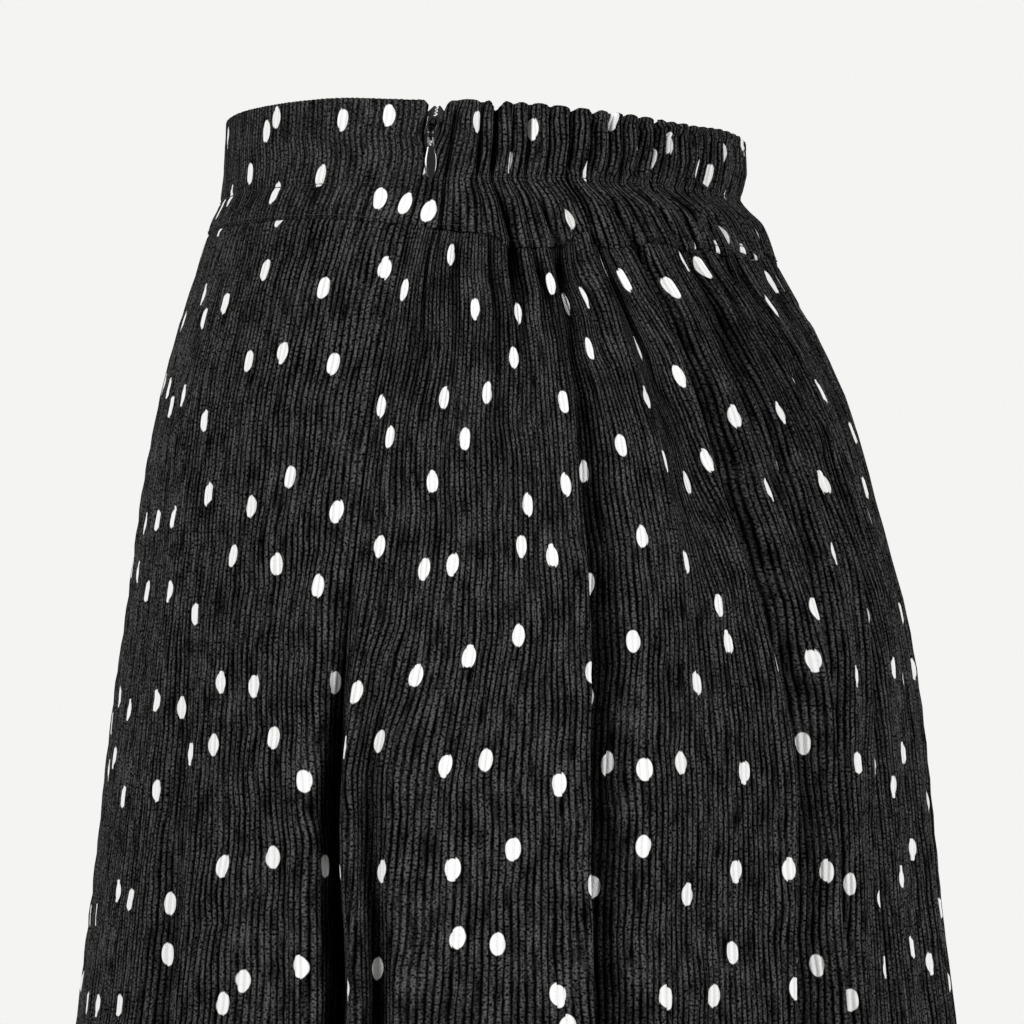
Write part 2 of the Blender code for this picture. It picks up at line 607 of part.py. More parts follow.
def make_skirt_back(material):
    """The back panel, gathered under the yoke, from the left side seam round to the right."""
    rows = len(SKIRT_ROWS)
    angles = np.empty((rows, 2 * SKIRT_BACK_PLEATS + 1))
    heights = np.empty_like(angles)
    for row, share in enumerate(SKIRT_ROWS):
        level = YOKE_SEAM_SIDE + share * (HEM - YOKE_SEAM_SIDE)
        first = float(left_seam(level) + SEAM_GAP / 2 / pace(0.0, level))
        last = float(right_seam(level) - SEAM_GAP / 2 / pace(pi, level))
        angles[row] = skirt_angles(first, last, SKIRT_BACK_PLEATS, BACK_FOLDS, level)
        seam = read(YOKE_BACK_LINES, "seam", "angle", np.degrees(angles[row])) - SEAM_GAP / 2
        heights[row] = seam + share * (HEM - seam)
    fade = np.exp((heights - YOKE_SEAM) / GATHERED_REACH)
    rise = (PLEAT_RISE + (GATHERED_RISE - PLEAT_RISE) * fade) * calm(angles, heights)
    return cloth_wall("skirt_back", angles, heights, heights, SKIRT_WALL, rise, ALL_FOLDS,
                      material)


# ---------------------------------------------------------------- the zip

def tape_section(side, z):
    """Plan of one tape at a height: coil, then tape, first its face and then its back.

    side is -1 for the tape in front of the seam and 1 for the one behind it.
    """
    wall = YOKE_WALL if z > YOKE_SEAM_SIDE else SKIRT_WALL
    edge = float(read(COIL_EDGES, "edge", "z", z))
    distances = np.array([edge, edge + COIL_WIDTH, (edge + TAPE_WIDTH) / 2, TAPE_WIDTH])
    speed = float(pace(0.0, z))
    angles = float(left_seam(z)) + side * distances / speed
    line = face(angles, np.full(4, z), () if z > YOKE_SEAM_SIDE else ALL_FOLDS)
    turn = side * (wall + TAPE_GAP)
    front_line = offset_line(line, turn)
    depth = np.array([TAPE_WALL + COIL_RISE, TAPE_WALL + COIL_RISE, TAPE_WALL, TAPE_WALL])
    straight_in = offset_line(line, side * 1.0) - line
    back_line = front_line + straight_in * depth[:, None]
    return np.vstack([front_line, back_line[::-1]])


def make_tape(name, side, material):
    """One tape of the zip with its half of the coil, behind the cloth's edge."""
    mesh = bmesh.new()
    rings = []
    for coil in COIL_EDGES:
        plan = tape_section(side, coil.z)
        rings.append([mesh.verts.new((x, y, coil.z)) for x, y in plan])
    count = len(rings[0])
    for low, high in zip(rings, rings[1:]):
        for place in range(count):
            after = (place + 1) % count
            mesh.faces.new((low[place], low[after], high[after], high[place]))
    mesh.faces.new(rings[0][::-1])
    mesh.faces.new(rings[-1])
    bmesh.ops.recalc_face_normals(mesh, faces=mesh.faces)
    data = bpy.data.meshes.new(name)
    mesh.to_mesh(data)
    mesh.free()
    tape = bpy.data.objects.new(name, data)
    bpy.context.collection.objects.link(tape)
    data.materials.append(material)
    return tape


def tube(path, radii, closed):
    """A mesh of a round wire along a path in the Y-Z or X-Z plane, closed or with caps."""
    mesh = bmesh.new()
    rings = []
    count = len(path)
    for number, point in enumerate(path):
        before = path[(number - 1) % count] if closed or number > 0 else point
        after = path[(number + 1) % count] if closed or number < count - 1 else point
        forward = (after - before).normalized()
        level = Vector((1, 0, 0)) if abs(forward.x) < 0.5 else Vector((0, 1, 0))
        across = forward.cross(level).normalized()
        level = across.cross(forward).normalized()
        ring = []
        for side in range(WIRE_SIDES):
            turn = 2 * pi * side / WIRE_SIDES
            spot = point + radii[number] * (cos(turn) * level + sin(turn) * across)
            ring.append(mesh.verts.new(spot))
        rings.append(ring)
    pairs = list(zip(rings, rings[1:]))
    if closed:
        pairs.append((rings[-1], rings[0]))
    for ring, following in pairs:
        for side in range(WIRE_SIDES):
            after = (side + 1) % WIRE_SIDES
            mesh.faces.new((ring[side], ring[after], following[after], following[side]))
    if not closed:
        mesh.faces.new(rings[0][::-1])
        mesh.faces.new(rings[-1])
    bmesh.ops.recalc_face_normals(mesh, faces=mesh.faces)
    return mesh


def link_mesh(name, mesh, material, helper=False):
    """An object of a bmesh; a helper is a shape that only joins or cuts another one."""
    data = bpy.data.meshes.new(name)
    mesh.to_mesh(data)
    mesh.free()
    piece = bpy.data.objects.new(name, data)
    bpy.context.collection.objects.link(piece)
    data.materials.append(material)
    if helper:
        piece.hide_render = True
        piece.display_type = "WIRE"
    return piece


def box_mesh(low, high, bevel):
    """A block between two corners with rounded edges."""
    mesh = bmesh.new()
    bmesh.ops.create_cube(mesh, size=1.0)
    low = Vector(low)
    high = Vector(high)
    size = high - low
    for vert in mesh.verts:
        vert.co = Vector(((vert.co.x + 0.5) * size.x, (vert.co.y + 0.5) * size.y,
                          (vert.co.z + 0.5) * size.z)) + low
    bmesh.ops.bevel(mesh, geom=mesh.edges[:], offset=bevel, segments=2, affect="EDGES",
                    profile=0.5)
    return mesh


def join_to(piece, helper):
    """Make a helper part of a piece."""
    union = piece.modifiers.new(helper.name, "BOOLEAN")
    union.operation = "UNION"
    union.object = helper
    helper.parent = piece.parent


def rounded_frame(width, height):
    """Middle line of the slider's frame: x out of the cloth, y across, z up from the bar."""
    corner = FRAME_CORNER
    path = []
    centres = ((width / 2 - corner, corner, -90), (width / 2 - corner, height - corner, 0),
               (corner - width / 2, height - corner, 90), (corner - width / 2, corner, 180))
    for y, z, start in centres:
        for step in range(FRAME_CORNER_STEPS + 1):
            angle = radians(start + 90 * step / FRAME_CORNER_STEPS)
            path.append(Vector((0, y + corner * cos(angle), z + corner * sin(angle))))
    return path


def lean_along(mesh, lean):
    """Slant a mesh sideways, as far as the zip leans for each step up."""
    for vert in mesh.verts:
        vert.co.y += lean * vert.co.z
    return mesh


def make_slider(anchor, room_behind, lean, material):
    """The slider, in the hinge's own axes: x out of the cloth, y along the bar, z up."""
    wide = FRAME_WIDTH - 2 * WIRE_RADIUS
    tall = FRAME_HEIGHT - WIRE_RADIUS - BAR_RADIUS
    path = rounded_frame(wide, tall)
    radii = [WIRE_RADIUS if point.z > path[0].z else BAR_RADIUS for point in path]
    slider = link_mesh("zip_slider", lean_along(tube(path, radii, True), lean), material)
    slider.parent = anchor
    behind = -room_behind
    body = box_mesh((behind - SLIDER_DEPTH, -SLIDER_WIDTH / 2, SLIDER_FOOT),
                    (behind, SLIDER_WIDTH / 2, SLIDER_FOOT + SLIDER_HEIGHT), SLIDER_ROUND)
    body_piece = link_mesh("slider_body", lean_along(body, lean), material, helper=True)
    neck = box_mesh((behind - SLIDER_DEPTH / 2, -NECK_WIDTH / 2, tall - NECK_HEIGHT),
                    (WIRE_RADIUS * NECK_REACH, NECK_WIDTH / 2, tall), NECK_ROUND)
    neck_piece = link_mesh("slider_neck", lean_along(neck, lean), material, helper=True)
    body_piece.parent = anchor
    neck_piece.parent = anchor
    join_to(slider, body_piece)
    join_to(slider, neck_piece)
    return slider


def drop_width(share):
    """Half width of the pull's drop, at a share of its length from the top."""
    neck_half = EYE_SPREAD / 2 + LEG_WIRE + NECK_SHOULDER
    if share < DROP_WIDEST:
        swell = sin(share / DROP_WIDEST * pi / 2) ** DROP_SWELL
        return neck_half + (DROP_WIDTH / 2 - neck_half) * swell
    lower = (share - DROP_WIDEST) / (1 - DROP_WIDEST)
    return DROP_WIDTH / 2 * (1 - lower ** DROP_FULL) ** DROP_TIP


def make_pull(anchor, material):
    """The pull, hanging straight down from the hinge in its own axes."""
    outline = [(-NECK_LENGTH - share * DROP_LENGTH, drop_width(share))
               for share in DROP_SHARES]
    right = [(half, z) for z, half in outline]
    left = [(-half, z) for z, half in reversed(outline)]
    mesh = bmesh.new()
    rim = [mesh.verts.new((-DROP_THICKNESS / 2, y, z)) for y, z in right + left]
    first = mesh.faces.new(rim)
    grown = bmesh.ops.extrude_face_region(mesh, geom=[first])
    lifted = [item for item in grown["geom"] if isinstance(item, bmesh.types.BMVert)]
    bmesh.ops.translate(mesh, verts=lifted, vec=(DROP_THICKNESS, 0, 0))
    bmesh.ops.recalc_face_normals(mesh, faces=mesh.faces)
    sharp = [edge for edge in mesh.edges
             if len(edge.link_faces) == 2 and edge.calc_face_angle() > radians(60)]
    bmesh.ops.bevel(mesh, geom=sharp, offset=RIM_BEVEL, segments=1, affect="EDGES")
    pull = link_mesh("zip_pull", mesh, material)
    pull.parent = anchor
    for number, side in enumerate((-1, 1)):
        across = side * EYE_SPREAD / 2
        ring = []
        for step in range(EYE_STEPS):
            angle = 2 * pi * step / EYE_STEPS
            ring.append(Vector((EYE_RADIUS * cos(angle), across, EYE_RADIUS * sin(angle))))
        eye = link_mesh(f"pull_eye_{number}", tube(ring, [EYE_WIRE] * EYE_STEPS, True),
                        material, helper=True)
        leg_path = [Vector((0, across, LEG_INTO_EYE - EYE_RADIUS)),
                    Vector((0, across, -NECK_LENGTH - LEG_INTO_DROP))]
        leg = link_mesh(f"pull_leg_{number}", tube(leg_path, [LEG_WIRE] * 2, False),
                        material, helper=True)
        for helper in (eye, leg):
            helper.parent = anchor
            join_to(pull, helper)
    return pull


def make_zip(tape_material, metal):
    """Both tapes, the slider, and the pull on its hinge."""
    make_tape("zip_tape_front", -1, tape_material)
    make_tape("zip_tape_back", 1, tape_material)
    angle = float(left_seam(BAR_Z))
    beside = face(np.array([angle]), np.array([BAR_Z]), ())[0]
    ahead = face(np.array([angle + ALONG_STEP]), np.array([BAR_Z]), ())[0]
    along = Vector((ahead[0] - beside[0], ahead[1] - beside[1], 0)).normalized()
    outward = Vector((along.y, -along.x, 0))
    middle = Vector((beside[0], beside[1], BAR_Z)) + outward * BAR_STAND_OFF
    hinge = bpy.data.objects.new("pull_hinge", None)
    bpy.context.collection.objects.link(hinge)
    basis = Matrix((outward, along, Vector((0, 0, 1)))).transposed().to_4x4()
    hinge.matrix_world = Matrix.Translation(middle) @ basis
    room_behind = BAR_STAND_OFF + YOKE_WALL + TAPE_GAP + TAPE_WALL + COIL_RISE + SLIDER_ROOM
    higher = face(np.array([float(left_seam(CASING_TOP))]), np.array([CASING_TOP]), ())[0]
    step = Vector((higher[0] - beside[0], higher[1] - beside[1], 0))
    make_slider(hinge, room_behind, step.dot(along) / (CASING_TOP - BAR_Z), metal)
    tip = BAR_Z - NECK_LENGTH - DROP_LENGTH
    reach = 0.0
    for share in np.linspace(LIE_FROM, 1.0, LIE_HEIGHTS):
        z = BAR_Z + share * (tip - BAR_Z)
        turn = angle + np.linspace(-LIE_REACH, LIE_REACH, LIE_ANGLES)
        spots = face(turn, np.full(LIE_ANGLES, z), ())
        stand = max((Vector((x, y, 0)) - Vector((middle.x, middle.y, 0))).dot(outward)
                    for x, y in spots)
        lean = atan2(stand + PULL_CLEARANCE + DROP_THICKNESS / 2, BAR_Z - z)
        reach = max(reach, lean)
    lying = bpy.data.objects.new("pull_lying", None)
    bpy.context.collection.objects.link(lying)
    lying.parent = hinge
    lying.rotation_euler = (0, -reach, 0)
    make_pull(lying, metal)
    return hinge


# ---------------------------------------------------------------- the skirt

def finish(name, colour, roughness, metallic):
    """A plain material."""
    material = bpy.data.materials.new(name)
    material.use_nodes = True
    shader = material.node_tree.nodes["Principled BSDF"]
    shader.inputs["Base Color"].default_value = colour
    shader.inputs["Roughness"].default_value = roughness
    shader.inputs["Metallic"].default_value = metallic
    material.diffuse_color = colour
    return material


def clear_scene():
    """Start with nothing in the scene."""
    for item in list(bpy.data.objects):
        bpy.data.objects.remove(item)


def main():
    clear_scene()
    cloth = finish("crinkled_cloth", BLACK_CLOTH, 0.75, 0.0)
    tape = finish("zip_tape", BLACK_TAPE, 0.80, 0.0)
    metal = finish("black_metal", BLACK_METAL, 0.25, 1.0)
    make_yoke_front(cloth)
    make_yoke_back(cloth)
    make_skirt_front(cloth)
    make_skirt_back(cloth)
    make_zip(tape, metal)


main()
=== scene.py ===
# %% [markdown]
# # A pleated midi skirt
#
# The real skirt is sewn from black cloth that was heat-set into hundreds of fine crinkled ribs and
# printed with small white dots. A flat yoke holds it at the front, a gathered elastic casing at
# the back, and a concealed zip closes it at the wearer's left side.
#
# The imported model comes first, because each piece here stands for one of its solids or lies on
# one, and rides on one of its bodies.

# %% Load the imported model
import json
from collections import namedtuple
from math import cos, pi, radians, sin

import bpy
import numpy as np
from mathutils import Matrix, Vector


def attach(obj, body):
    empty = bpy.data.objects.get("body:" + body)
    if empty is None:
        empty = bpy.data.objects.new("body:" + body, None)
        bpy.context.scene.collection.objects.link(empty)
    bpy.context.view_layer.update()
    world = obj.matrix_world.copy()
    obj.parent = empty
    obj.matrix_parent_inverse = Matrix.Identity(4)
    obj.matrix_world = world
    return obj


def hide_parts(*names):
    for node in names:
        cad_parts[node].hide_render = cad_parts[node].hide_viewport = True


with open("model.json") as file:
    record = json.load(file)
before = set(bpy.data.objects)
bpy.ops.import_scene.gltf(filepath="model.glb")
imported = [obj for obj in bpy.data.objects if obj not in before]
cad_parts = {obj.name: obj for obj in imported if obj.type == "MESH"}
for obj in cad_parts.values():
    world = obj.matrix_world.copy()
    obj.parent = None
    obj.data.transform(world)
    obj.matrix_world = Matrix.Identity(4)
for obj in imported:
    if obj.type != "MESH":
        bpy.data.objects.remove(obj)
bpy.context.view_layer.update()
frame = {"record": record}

# %% [markdown]
# ## The camera
#
# The picture was taken with a long lens from the wearer's left, fifteen degrees towards the back
# and from below the waist, so the camera looks slightly up. A long lens far away keeps the ellipse
# of the waist nearly flat, as in the picture. The camera is turned and not shifted.

# %% Camera
LEFT = Vector((cos(radians(15)), sin(radians(15)), 0))      # from the skirt to the camera
RIGHTWARDS = Vector((-LEFT.y, LEFT.x, 0))                   # across the picture
CAMERA_FAR = 3.5
CAMERA_Z = -0.345
CAMERA_AIM = RIGHTWARDS * 0.0094 + Vector((0, 0, -0.1276))
CAMERA_LENS = 326.7

camera = bpy.data.objects.new("camera", bpy.data.cameras.new("camera"))
bpy.context.scene.collection.objects.link(camera)
camera.data.lens = CAMERA_LENS
camera.location = LEFT * CAMERA_FAR + Vector((0, 0, CAMERA_Z))
camera.rotation_euler = (CAMERA_AIM - camera.location).to_track_quat("-Z", "Y").to_euler()
bpy.context.scene.camera = camera
print("camera looks up by", round(camera.rotation_euler.x * 180 / pi - 90, 2), "degrees")

# %% [markdown]
# ## Floor and light
#
# The studio is nearly white all round, which a plain world colour gives. Black cloth shows its
# ribs only where light glances off it, so one large soft lamp stands at the camera's left and
# above, and another fills from the right. A narrow upright one beside the first is what the zip's
# glossy pull mirrors as a white strip. The floor lies where a wearer's floor would be.

# %% Floor, world and lamps
FLOOR_Z = -1.03
FLOOR_SIZE = 16.0
STUDIO_WHITE = (0.905, 0.905, 0.888, 1.0)
STUDIO_GLOW = 0.22             # how brightly the backdrop lights the cloth
LAMPS_AIM_Z = -0.15            # the height at the hip that the lamps face
Lamp = namedtuple("Lamp", "name towards_camera leftwards upwards far wide tall watts")
LAMPS = (
    Lamp("key", 0.80, 0.85, 0.60, 2.4, 0.9, 0.9, 46.0),
    Lamp("fill", 0.70, -0.85, 0.35, 2.6, 1.0, 1.0, 58.0),
    Lamp("strip", 0.62, 0.80, 0.16, 2.4, 0.25, 1.2, 6.0),
)


def add_lamp(lamp):
    """An upright soft lamp that faces the skirt's hip."""
    middle = Vector((0, 0, LAMPS_AIM_Z))
    way = LEFT * lamp.towards_camera - RIGHTWARDS * lamp.leftwards + Vector((0, 0, lamp.upwards))
    light = bpy.data.lights.new(lamp.name, "AREA")
    light.shape = "RECTANGLE"
    light.size = lamp.wide
    light.size_y = lamp.tall
    light.energy = lamp.watts
    item = bpy.data.objects.new(lamp.name, light)
    bpy.context.scene.collection.objects.link(item)
    item.location = middle + way.normalized() * lamp.far
    item.rotation_euler = (middle - item.location).to_track_quat("-Z", "Y").to_euler()
    return item


bpy.ops.object.select_all(action="DESELECT")
bpy.ops.mesh.primitive_plane_add(size=FLOOR_SIZE, location=(0, 0, FLOOR_Z))
floor = bpy.context.object
floor.name = "floor"
floor.data.transform(Matrix.Translation(floor.location))
floor.location = (0, 0, 0)
lamps = [add_lamp(lamp) for lamp in LAMPS]


def studio_world():
    """A nearly white backdrop all round, which gives the cloth only a part of its light."""
    world = bpy.data.worlds.new("studio")
    world.use_nodes = True
    tree = world.node_tree
    backdrop = tree.nodes["Background"]
    backdrop.inputs["Color"].default_value = STUDIO_WHITE
    glow = tree.nodes.new("ShaderNodeBackground")
    glow.inputs["Color"].default_value = STUDIO_WHITE
    glow.inputs["Strength"].default_value = STUDIO_GLOW
    seen = tree.nodes.new("ShaderNodeLightPath")
    either = tree.nodes.new("ShaderNodeMixShader")
    tree.links.new(seen.outputs["Is Camera Ray"], either.inputs[0])
    tree.links.new(glow.outputs[0], either.inputs[1])
    tree.links.new(backdrop.outputs[0], either.inputs[2])
    tree.links.new(either.outputs[0], tree.nodes["World Output"].inputs["Surface"])
    return world


bpy.context.scene.world = studio_world()
bpy.context.scene.view_settings.view_transform = "Standard"
print(len(lamps), "lamps; floor at", FLOOR_Z)

# %% [markdown]
# ## The body of cloth
#
# Worn, the skirt is a stack of flattened rings: narrow at the waist, fuller at the hip, wide at
# the hem, and deeper at the back than at the front. A short table of half widths gives the rings,
# and a curve that never overshoots its points reads it at any height. Angles go round from the
# wearer's left (0) over the back (90).

# %% Rings, side seams and yoke seams
CASING_TOP = 0.015
CASING_FOOT = -0.015
YOKE_SEAM = -0.036
YOKE_SEAM_SIDE = -0.031
HIP = -0.150
THIGH = -0.240
LOW = -0.320
HEM = -0.765

Section = namedtuple("Section", "z side front back")
SECTIONS = (
    Section(HEM, 0.280, 0.200, 0.222),
    Section(-0.450, 0.236, 0.163, 0.1855),
    Section(LOW, 0.214, 0.1458, 0.1695),
    Section(-0.259, 0.199, 0.1402, 0.1632),
    Section(-0.199, 0.186, 0.134, 0.158),
    Section(-0.168, 0.180, 0.130, 0.1535),
    Section(-0.123, 0.170, 0.125, 0.142),
    Section(-0.093, 0.162, 0.120, 0.135),
    Section(-0.063, 0.150, 0.113, 0.123),
    Section(YOKE_SEAM, 0.137, 0.105, 0.108),
    Section(-0.023, 0.131, 0.1015, 0.1015),
    Section(CASING_FOOT, 0.127, 0.098, 0.0930),
    Section(0.000, 0.125, 0.0965, 0.0952),
    Section(CASING_TOP, 0.1235, 0.096, 0.0950),
)
SeamPoint = namedtuple("SeamPoint", "z left right")
SIDE_SEAMS = (
    SeamPoint(HEM, 0.5, 0.0),
    SeamPoint(LOW, 1.0, 0.5),
    SeamPoint(-0.218, -1.9, -1.0),
    SeamPoint(-0.126, -0.2, 0.0),
    SeamPoint(-0.075, 1.5, 1.5),
    SeamPoint(YOKE_SEAM, 3.1, 3.5),
    SeamPoint(CASING_FOOT, 5.4, 5.5),
    SeamPoint(CASING_TOP, 8.4, 8.0),
)
YokeLine = namedtuple("YokeLine", "angle top stitch seam")
YOKE_FRONT_LINES = (
    YokeLine(-184, 0.0150, -0.0140, YOKE_SEAM_SIDE),
    YokeLine(-160, 0.0172, -0.0136, -0.027),
    YokeLine(-90, 0.0180, -0.0130, -0.025),
    YokeLine(-20, 0.0180, -0.0140, -0.027),
    YokeLine(3, 0.0160, -0.0150, YOKE_SEAM_SIDE),
)
YOKE_BACK_LINES = (
    YokeLine(4, 0.0158, -0.0150, YOKE_SEAM_SIDE),
    YokeLine(10, 0.0156, -0.0139, -0.0330),
    YokeLine(19.6, 0.0152, -0.0129, -0.0350),
    YokeLine(23.7, 0.0150, -0.0127, -0.0395),
    YokeLine(31, 0.0146, -0.0121, -0.0390),
    YokeLine(38.6, 0.0138, -0.0118, -0.0325),
    YokeLine(42, 0.0136, -0.0118, -0.0385),
    YokeLine(48, 0.0132, -0.0119, -0.0370),
    YokeLine(54, 0.0128, -0.0118, -0.0340),
    YokeLine(59, 0.0124, -0.0117, -0.0368),
    YokeLine(66, 0.0121, -0.0115, -0.0350),
    YokeLine(72, 0.0121, -0.0113, -0.0366),
    YokeLine(78, 0.0126, -0.0112, -0.0340),
    YokeLine(84, 0.0130, -0.0109, -0.0358),
    YokeLine(97, 0.0130, -0.0092, -0.0310),
    YokeLine(104, 0.0127, -0.0080, -0.0350),
    YokeLine(112, 0.0124, -0.0071, -0.0330),
    YokeLine(122, 0.0120, -0.0080, -0.0375),
    YokeLine(133, 0.0124, -0.0095, -0.0345),
    YokeLine(141, 0.0128, -0.0105, -0.0380),
    YokeLine(148, 0.0131, -0.0115, -0.0350),
    YokeLine(158, 0.0137, -0.0125, -0.0375),
    YokeLine(175, 0.0150, -0.0140, YOKE_SEAM_SIDE),
)


def smooth(x, xs, ys):
    """Read a smooth curve through the points (xs, ys) that doesn't overshoot them."""
    x = np.clip(np.asarray(x, float), xs[0], xs[-1])
    xs = np.asarray(xs, float)
    ys = np.asarray(ys, float)
    step = np.diff(xs)
    slope = np.diff(ys) / step
    steady = slope[:-1] * slope[1:] > 0
    weight_a = 2 * step[1:] + step[:-1]
    weight_b = step[1:] + 2 * step[:-1]
    safe_a = np.where(steady, slope[:-1], 1.0)
    safe_b = np.where(steady, slope[1:], 1.0)
    middle = (weight_a + weight_b) / (weight_a / safe_a + weight_b / safe_b)
    tangent = np.concatenate(([slope[0]], np.where(steady, middle, 0.0), [slope[-1]]))
    k = np.clip(np.searchsorted(xs, x, side="right") - 1, 0, len(step) - 1)
    t = (x - xs[k]) / step[k]
    start = (1 + 2 * t) * (1 - t) ** 2 * ys[k] + t * (1 - t) ** 2 * step[k] * tangent[k]
    end = t * t * (3 - 2 * t) * ys[k + 1] + t * t * (t - 1) * step[k] * tangent[k + 1]
    return start + end


def read(table, name, key, x):
    """A smooth reading of one column of a table against another."""
    return smooth(x, [getattr(row, key) for row in table], [getattr(row, name) for row in table])


def left_seam(z):
    """Angle of the left side seam, in radians."""
    return np.radians(read(SIDE_SEAMS, "left", "z", z))


def right_seam(z):
    """Angle of the right side seam, in radians, met from the back."""
    return pi - np.radians(read(SIDE_SEAMS, "right", "z", z))


def half_depth(angle, z):
    """How far the ring reaches back, or forward in its front half."""
    return np.where(np.sin(angle) >= 0, read(SECTIONS, "back", "z", z),
                    read(SECTIONS, "front", "z", z))


def pace(angle, z):
    """How far the cloth's face goes for each radian, with no folds."""
    side = read(SECTIONS, "side", "z", z)
    return np.hypot(side * np.sin(angle), half_depth(angle, z) * np.cos(angle))


print("half width at the hip", float(read(SECTIONS, "side", "z", HIP)), "m")

# %% [markdown]
# ## Long folds and gathers
#
# At the back more cloth is sewn to the yoke than the waist needs. It falls in long folds: troughs
# that start at the yoke and deepen downwards, with one flank tucked under the other. Each has a
# row in a table with its place, its depth at five heights and how wide its flanks are. The
# elastic pulls the casing into short upright gathers. A second table has the dents between them on
# the side that the picture shows, and the far side mirrors it.

# %% Folds and gathers
Fold = namedtuple("Fold", "name at_seam at_hip at_thigh at_low at_hem "
                          "deep_seam deep_hip deep_thigh deep_low deep_hem near far tuck")
FOLDS = (
    Fold("side_left", 3.1, -0.9, -1.9, 1.0, 0.5, 0.0, 0.8, 11, 15, 17, 8, 6, 10),
    Fold("behind_zip", 6.5, 3.8, 2.6, 5.2, 5.0, 0.0, 0, 5, 9, 11, 4.5, 9, 0),
    Fold("left_first", 31.8, 32.8, 32.4, 32.8, 33.0, 3.4, 8, 12, 15, 20, 6, 14, 24),
    Fold("left_short", 39.8, 46.5, 46.5, 46.0, 46.0, 2.8, 2, 0, 1, 6, 5, 9, 10),
    Fold("left_deep", 47.9, 56.5, 61.8, 59.6, 59.0, 7.0, 15, 17, 18, 22, 6, 11, 26),
    Fold("left_slim", 59.0, 68.2, 67.5, 65.9, 66.5, 3.4, 10, 14, 16, 20, 5, 10, 22),
    Fold("left_hip", 71.0, 82.4, 79.5, 78.5, 79.0, 2.8, 12, 4, 3, 8, 7, 13, 20),
    Fold("back_left", 83.0, 93.5, 95.0, 95.0, 95.0, 2.6, 6, 10, 13, 20, 8, 14, 16),
    Fold("back_right", 97.0, 106.5, 108.5, 109.0, 109.0, 2.8, 9, 14, 16, 21, 8, 13, -16),
    Fold("right_hip", 111.0, 117.0, 119.0, 120.0, 121.0, 2.6, 8, 6, 8, 14, 8, 9, -18),
    Fold("right_deep", 124.0, 127.5, 130.0, 131.0, 131.0, 4.0, 12, 16, 18, 22, 11, 6, -24),
    Fold("right_short", 137.0, 139.5, 142.0, 143.0, 142.0, 2.6, 6, 3, 4, 9, 9, 6, -12),
    Fold("right_last", 148.0, 150.5, 152.0, 153.0, 153.0, 3.2, 8, 13, 15, 19, 12, 6, -22),
    Fold("side_right", 176.5, 180.0, 181.0, 179.5, 180.0, 0.0, 1, 7, 10, 14, 7, 7, 0),
    Fold("front_right_side", 210, 208, 207, 206, 206, 0, 0, 3, 5, 12, 12, 14, 0),
    Fold("front_right", 244, 242, 241, 240, 240, 0, 0, 2, 4, 11, 14, 16, 0),
    Fold("front_left", 284, 286, 288, 289, 289, 0, 0, 2, 3, 10, 15, 14, 0),
    Fold("front_left_side", 324, 327, 329, 330, 330, 0, 0, 3, 5, 12, 14, 12, 0),
)
GATHERED_FOLDS = FOLDS[2:13]     # those that hang from the gathered back yoke
FOLD_HEIGHTS = (HEM, LOW, THIGH, HIP, YOKE_SEAM)
FOLD_WIDTH_AT_SEAM = 0.50
LIP = 0.26                     # the cloth rolls out beside a fold by this share of its depth
LIP_PLACE = 1.45
LIP_WIDTH = 0.75
FULL_FOLD = 0.010              # a fold this deep gets the full painted shade

# Dents between the gathers: angle in the casing and at the yoke seam (degrees), half width and
# depth (mm), share of the depth left at the top edge, depth at the yoke seam (mm), and how far
# the dent runs on down the skirt (mm).
Dent = namedtuple("Dent", "angle at_seam wide deep top deep_seam run_on")
LEFT_DENTS = (
    Dent(11.8, 9.7, 2.4, 3.4, 0.0, 2.4, 16),
    Dent(18.0, 18.2, 2.3, 3.4, 0.2, 0.5, 1),
    Dent(21.3, 23.6, 3.1, 4.6, 1.0, 5.0, 8),
    Dent(25.0, 27.6, 1.6, 2.4, 0.3, 0.8, 6),
    Dent(28.5, 31.8, 2.0, 3.0, 0.2, 3.2, 1),
    Dent(33.0, 36.0, 1.5, 2.2, 0.3, 0.9, 10),
    Dent(38.0, 40.3, 2.6, 4.0, 0.35, 2.6, 1),
    Dent(43.0, 48.0, 2.8, 4.4, 0.35, 4.4, 1),
    Dent(47.0, 52.0, 1.8, 3.0, 0.2, 1.0, 12),
    Dent(50.5, 55.2, 1.8, 3.2, 0.3, 1.2, 12),
    Dent(54.5, 59.0, 2.2, 3.4, 0.2, 3.2, 1),
    Dent(59.0, 64.3, 2.6, 5.2, 0.6, 2.4, 30),
    Dent(62.5, 67.4, 1.6, 2.6, 0.2, 1.4, 18),
    Dent(66.0, 71.0, 1.8, 2.8, 0.3, 2.4, 1),
    Dent(70.0, 75.0, 2.8, 4.4, 0.35, 1.6, 24),
    Dent(73.5, 78.5, 1.6, 2.6, 0.3, 1.8, 26),
    Dent(77.0, 81.6, 1.8, 3.0, 0.3, 1.2, 12),
    Dent(80.5, 84.6, 1.6, 2.6, 0.3, 2.0, 1),
    Dent(84.5, 88.2, 2.2, 3.4, 0.3, 1.4, 20),
)
MIDDLE_DENTS = (
    Dent(89.0, 91.4, 2.4, 3.8, 0.3, 1.6, 24),
    Dent(93.2, 94.0, 1.8, 3.0, 0.3, 1.2, 10),
)
MIRROR = 181.5                 # the far side's dents lie as far from this angle, turned round
MIRROR_AT_SEAM = 184.5
DENT_SHARP = 1.35
DENT_PINCH = 0.50              # share of a dent's depth left at the stitch line
PINCH_NARROW = 0.62            # and of its width
RIDGE_ROUND = 0.0009           # the cloth between two dents is this much rounder than the ring
RIDGE_REACH = 0.0042
DENT_MIDDLE = 0.9              # a dent's depth halfway down the strip, over the mean of its ends
FIRST_DENT = 8.0               # degrees; dents from here on lean with the zip's seam
SEAM_LEAN_REACH = 6.0          # degrees over which that lean fades
